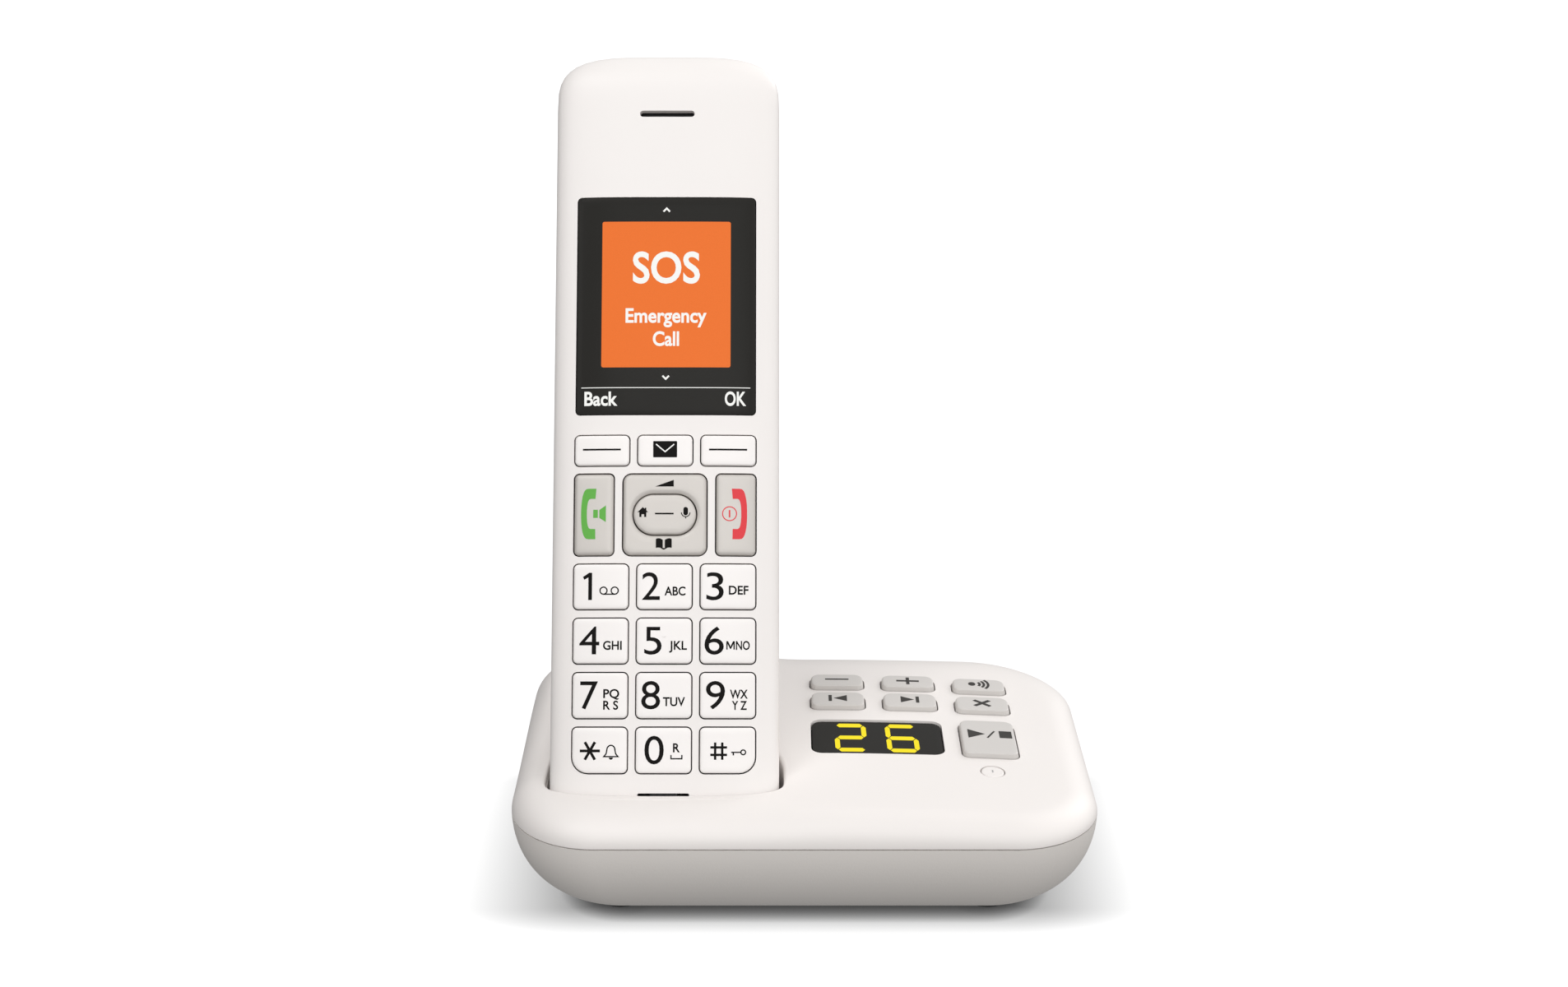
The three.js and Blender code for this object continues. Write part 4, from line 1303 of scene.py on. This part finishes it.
# ---------------------------------------------------------------- CAD pieces that stay
KEPT = (
    (RUBBER, ["foot_front_left", "foot_front_right", "foot_rear_left", "foot_rear_right",
              "keypad_mat"]),
    (DARK, ["line_socket", "power_socket", "base_display_module", "lcd_module", "ear_speaker",
            "handsfree_speaker", "base_speaker", "microphone"]),
    (BRASS, ["handset_contact_left", "handset_contact_right", "cradle_contact_left",
             "cradle_contact_right"]),
    (CELL, ["battery_cell_left", "battery_cell_right"]),
    (BOARD, ["base_circuit_board", "handset_circuit_board"]),
)
for material, nodes in KEPT:
    for node in nodes:
        piece = frame["nodes"][node]
        piece.data.materials.clear()
        piece.data.materials.append(material)
        soften = piece.modifiers.new("soft_edges", "BEVEL")
        soften.width = 0.15 * MM
        soften.segments = 2
        soften.limit_method = "ANGLE"

# ---------------------------------------------------------------- the floor, with a shadow painted round the base
FLOOR_LIT = 0.2  # the share of the floor's tone that the lamps give; the rest is its own glow
# the floor's glow close to the phone, a little weaker than far off: a broad painted shade
FLOOR_GLOW = 0.87
SHADE_CORE = (0.046, 0.028)  # half the size, in metres, of the dark core of the shadow painted under the base
SHADE_REACH = (0.029, 0.0115)  # how far that painted shadow spreads softly, sideways and to the front
# how much the painted shadow darkens the floor at its core
SHADE_DEPTH = 0.7
# reach of the painted contact shadow that darkens the floor right under the base
CONTACT_SHADOW_REACH = 0.004

floor_material, tree, shader = new_material("floor")
floor_material.cycles.emission_sampling = "NONE"  # the glow lights nothing


def vector_maths(operation, source, amount=None):
    inputs = {0: source} if amount is None else {0: source, 1: amount}
    outputs = shader_node(tree, "VectorMath", inputs, operation=operation)
    return outputs["Value" if operation == "LENGTH" else "Vector"]


def product(first, second):
    return shader_node(tree, "Math", {0: first, 1: second}, operation="MULTIPLY")["Value"]


place = shader_node(tree, "TexCoord")["Object"]
base_middle = middle_of(*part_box("base_lower_shell"))
beyond = vector_maths("ABSOLUTE", vector_maths("SUBTRACT", place, (*base_middle, 0)))
beyond = vector_maths("MAXIMUM", vector_maths("SUBTRACT", beyond, (*SHADE_CORE, 0)), (0, 0, 0))
beyond = vector_maths("LENGTH", vector_maths("DIVIDE", beyond, (*SHADE_REACH, 1)))
# painted contact shadow: an occlusion test darkens the floor where the base stands close above it
contact = shader_node(tree, "AmbientOcclusion", {"Distance": CONTACT_SHADOW_REACH})["AO"]
# painted shadow: a soft patch round the base darkens both the floor's colour and its glow
shade = product(map_range(tree, beyond, (1 - SHADE_DEPTH, 1)),
                map_range(tree, contact, (0.2, 1), (0.2, 0.9)))
far = vector_maths("LENGTH", place)
glow = map_range(tree, far, (FLOOR_GLOW, 1), (0.1, 0.7), "SMOOTHSTEP")
fill(tree, shader, {
    "Base Color": blend_colours(tree, shade, (0.01,) * 3, (FLOOR_LIT,) * 3),
    "Emission Color": (1, 1, 1, 1),
    "Emission Strength": product(shade, glow),
    "Roughness": 0.9,
    "Specular IOR Level": 0.0,
})
bpy.ops.mesh.primitive_plane_add(size=12, location=(0, 0, CAD_LO.z))
floor = bpy.context.object
floor.name = "floor"
floor.data.materials.append(floor_material)
floor.visible_diffuse = False  # the floor gives the object no light of its own
floor.visible_glossy = False

# ---------------------------------------------------------------- lights and world
LIGHT_TARGET = Vector((0, 0, 0.07))
LIGHT_DISTANCE = 1.3
# azimuth (0 is in front and 90 to the phone's right), elevation and power
LIGHTS = {
    "front": (0, 35, 2.7),
    "front_high": (0, 60, 1.2),
    "front_left": (315, 35, 2.0),
    "front_left_high": (315, 60, 3.5),
    "front_right": (45, 35, 0.7),
    "back_right": (135, 27, 2.9),
}
for name, (azimuth, elevation, power) in LIGHTS.items():
    panel = bpy.data.lights.new(name, "AREA")
    panel.shape = "RECTANGLE"
    panel.size, panel.size_y = 0.5, 0.4
    panel.energy = power
    turn, tilt = math.radians(azimuth), math.radians(elevation)
    level = Vector((math.sin(turn), -math.cos(turn), 0)) * math.cos(tilt)
    away = level + Vector((0, 0, math.sin(tilt)))
    light = bpy.data.objects.new(name, panel)
    light.location = LIGHT_TARGET + LIGHT_DISTANCE * away
    light.rotation_euler = away.to_track_quat("Z", "Y").to_euler()
    SCENE.collection.objects.link(light)

SKY = 1.37  # brightest to the phone's right, and fading to nothing on its left
GROUND = 0.34
world = bpy.data.worlds.new("studio")
SCENE.world = world
world.use_nodes = True
tree = world.node_tree
direction = shader_node(tree, "TexCoord")["Generated"]
split = shader_node(tree, "SeparateXYZ", {"Vector": direction})
sky = map_range(tree, split["X"], (0, SKY), (-1, 1))
rise = map_range(tree, split["Z"], (0, 1), (-0.25, 0.3), "SMOOTHSTEP")
strength = shader_node(tree, "Mix", {"Factor": rise, "A": GROUND, "B": sky})["Result"]
fill(tree, tree.nodes["Background"], {"Color": (1, 1, 1, 1), "Strength": strength})
SCENE.view_settings.view_transform = "Standard"
SCENE.view_settings.look = "None"
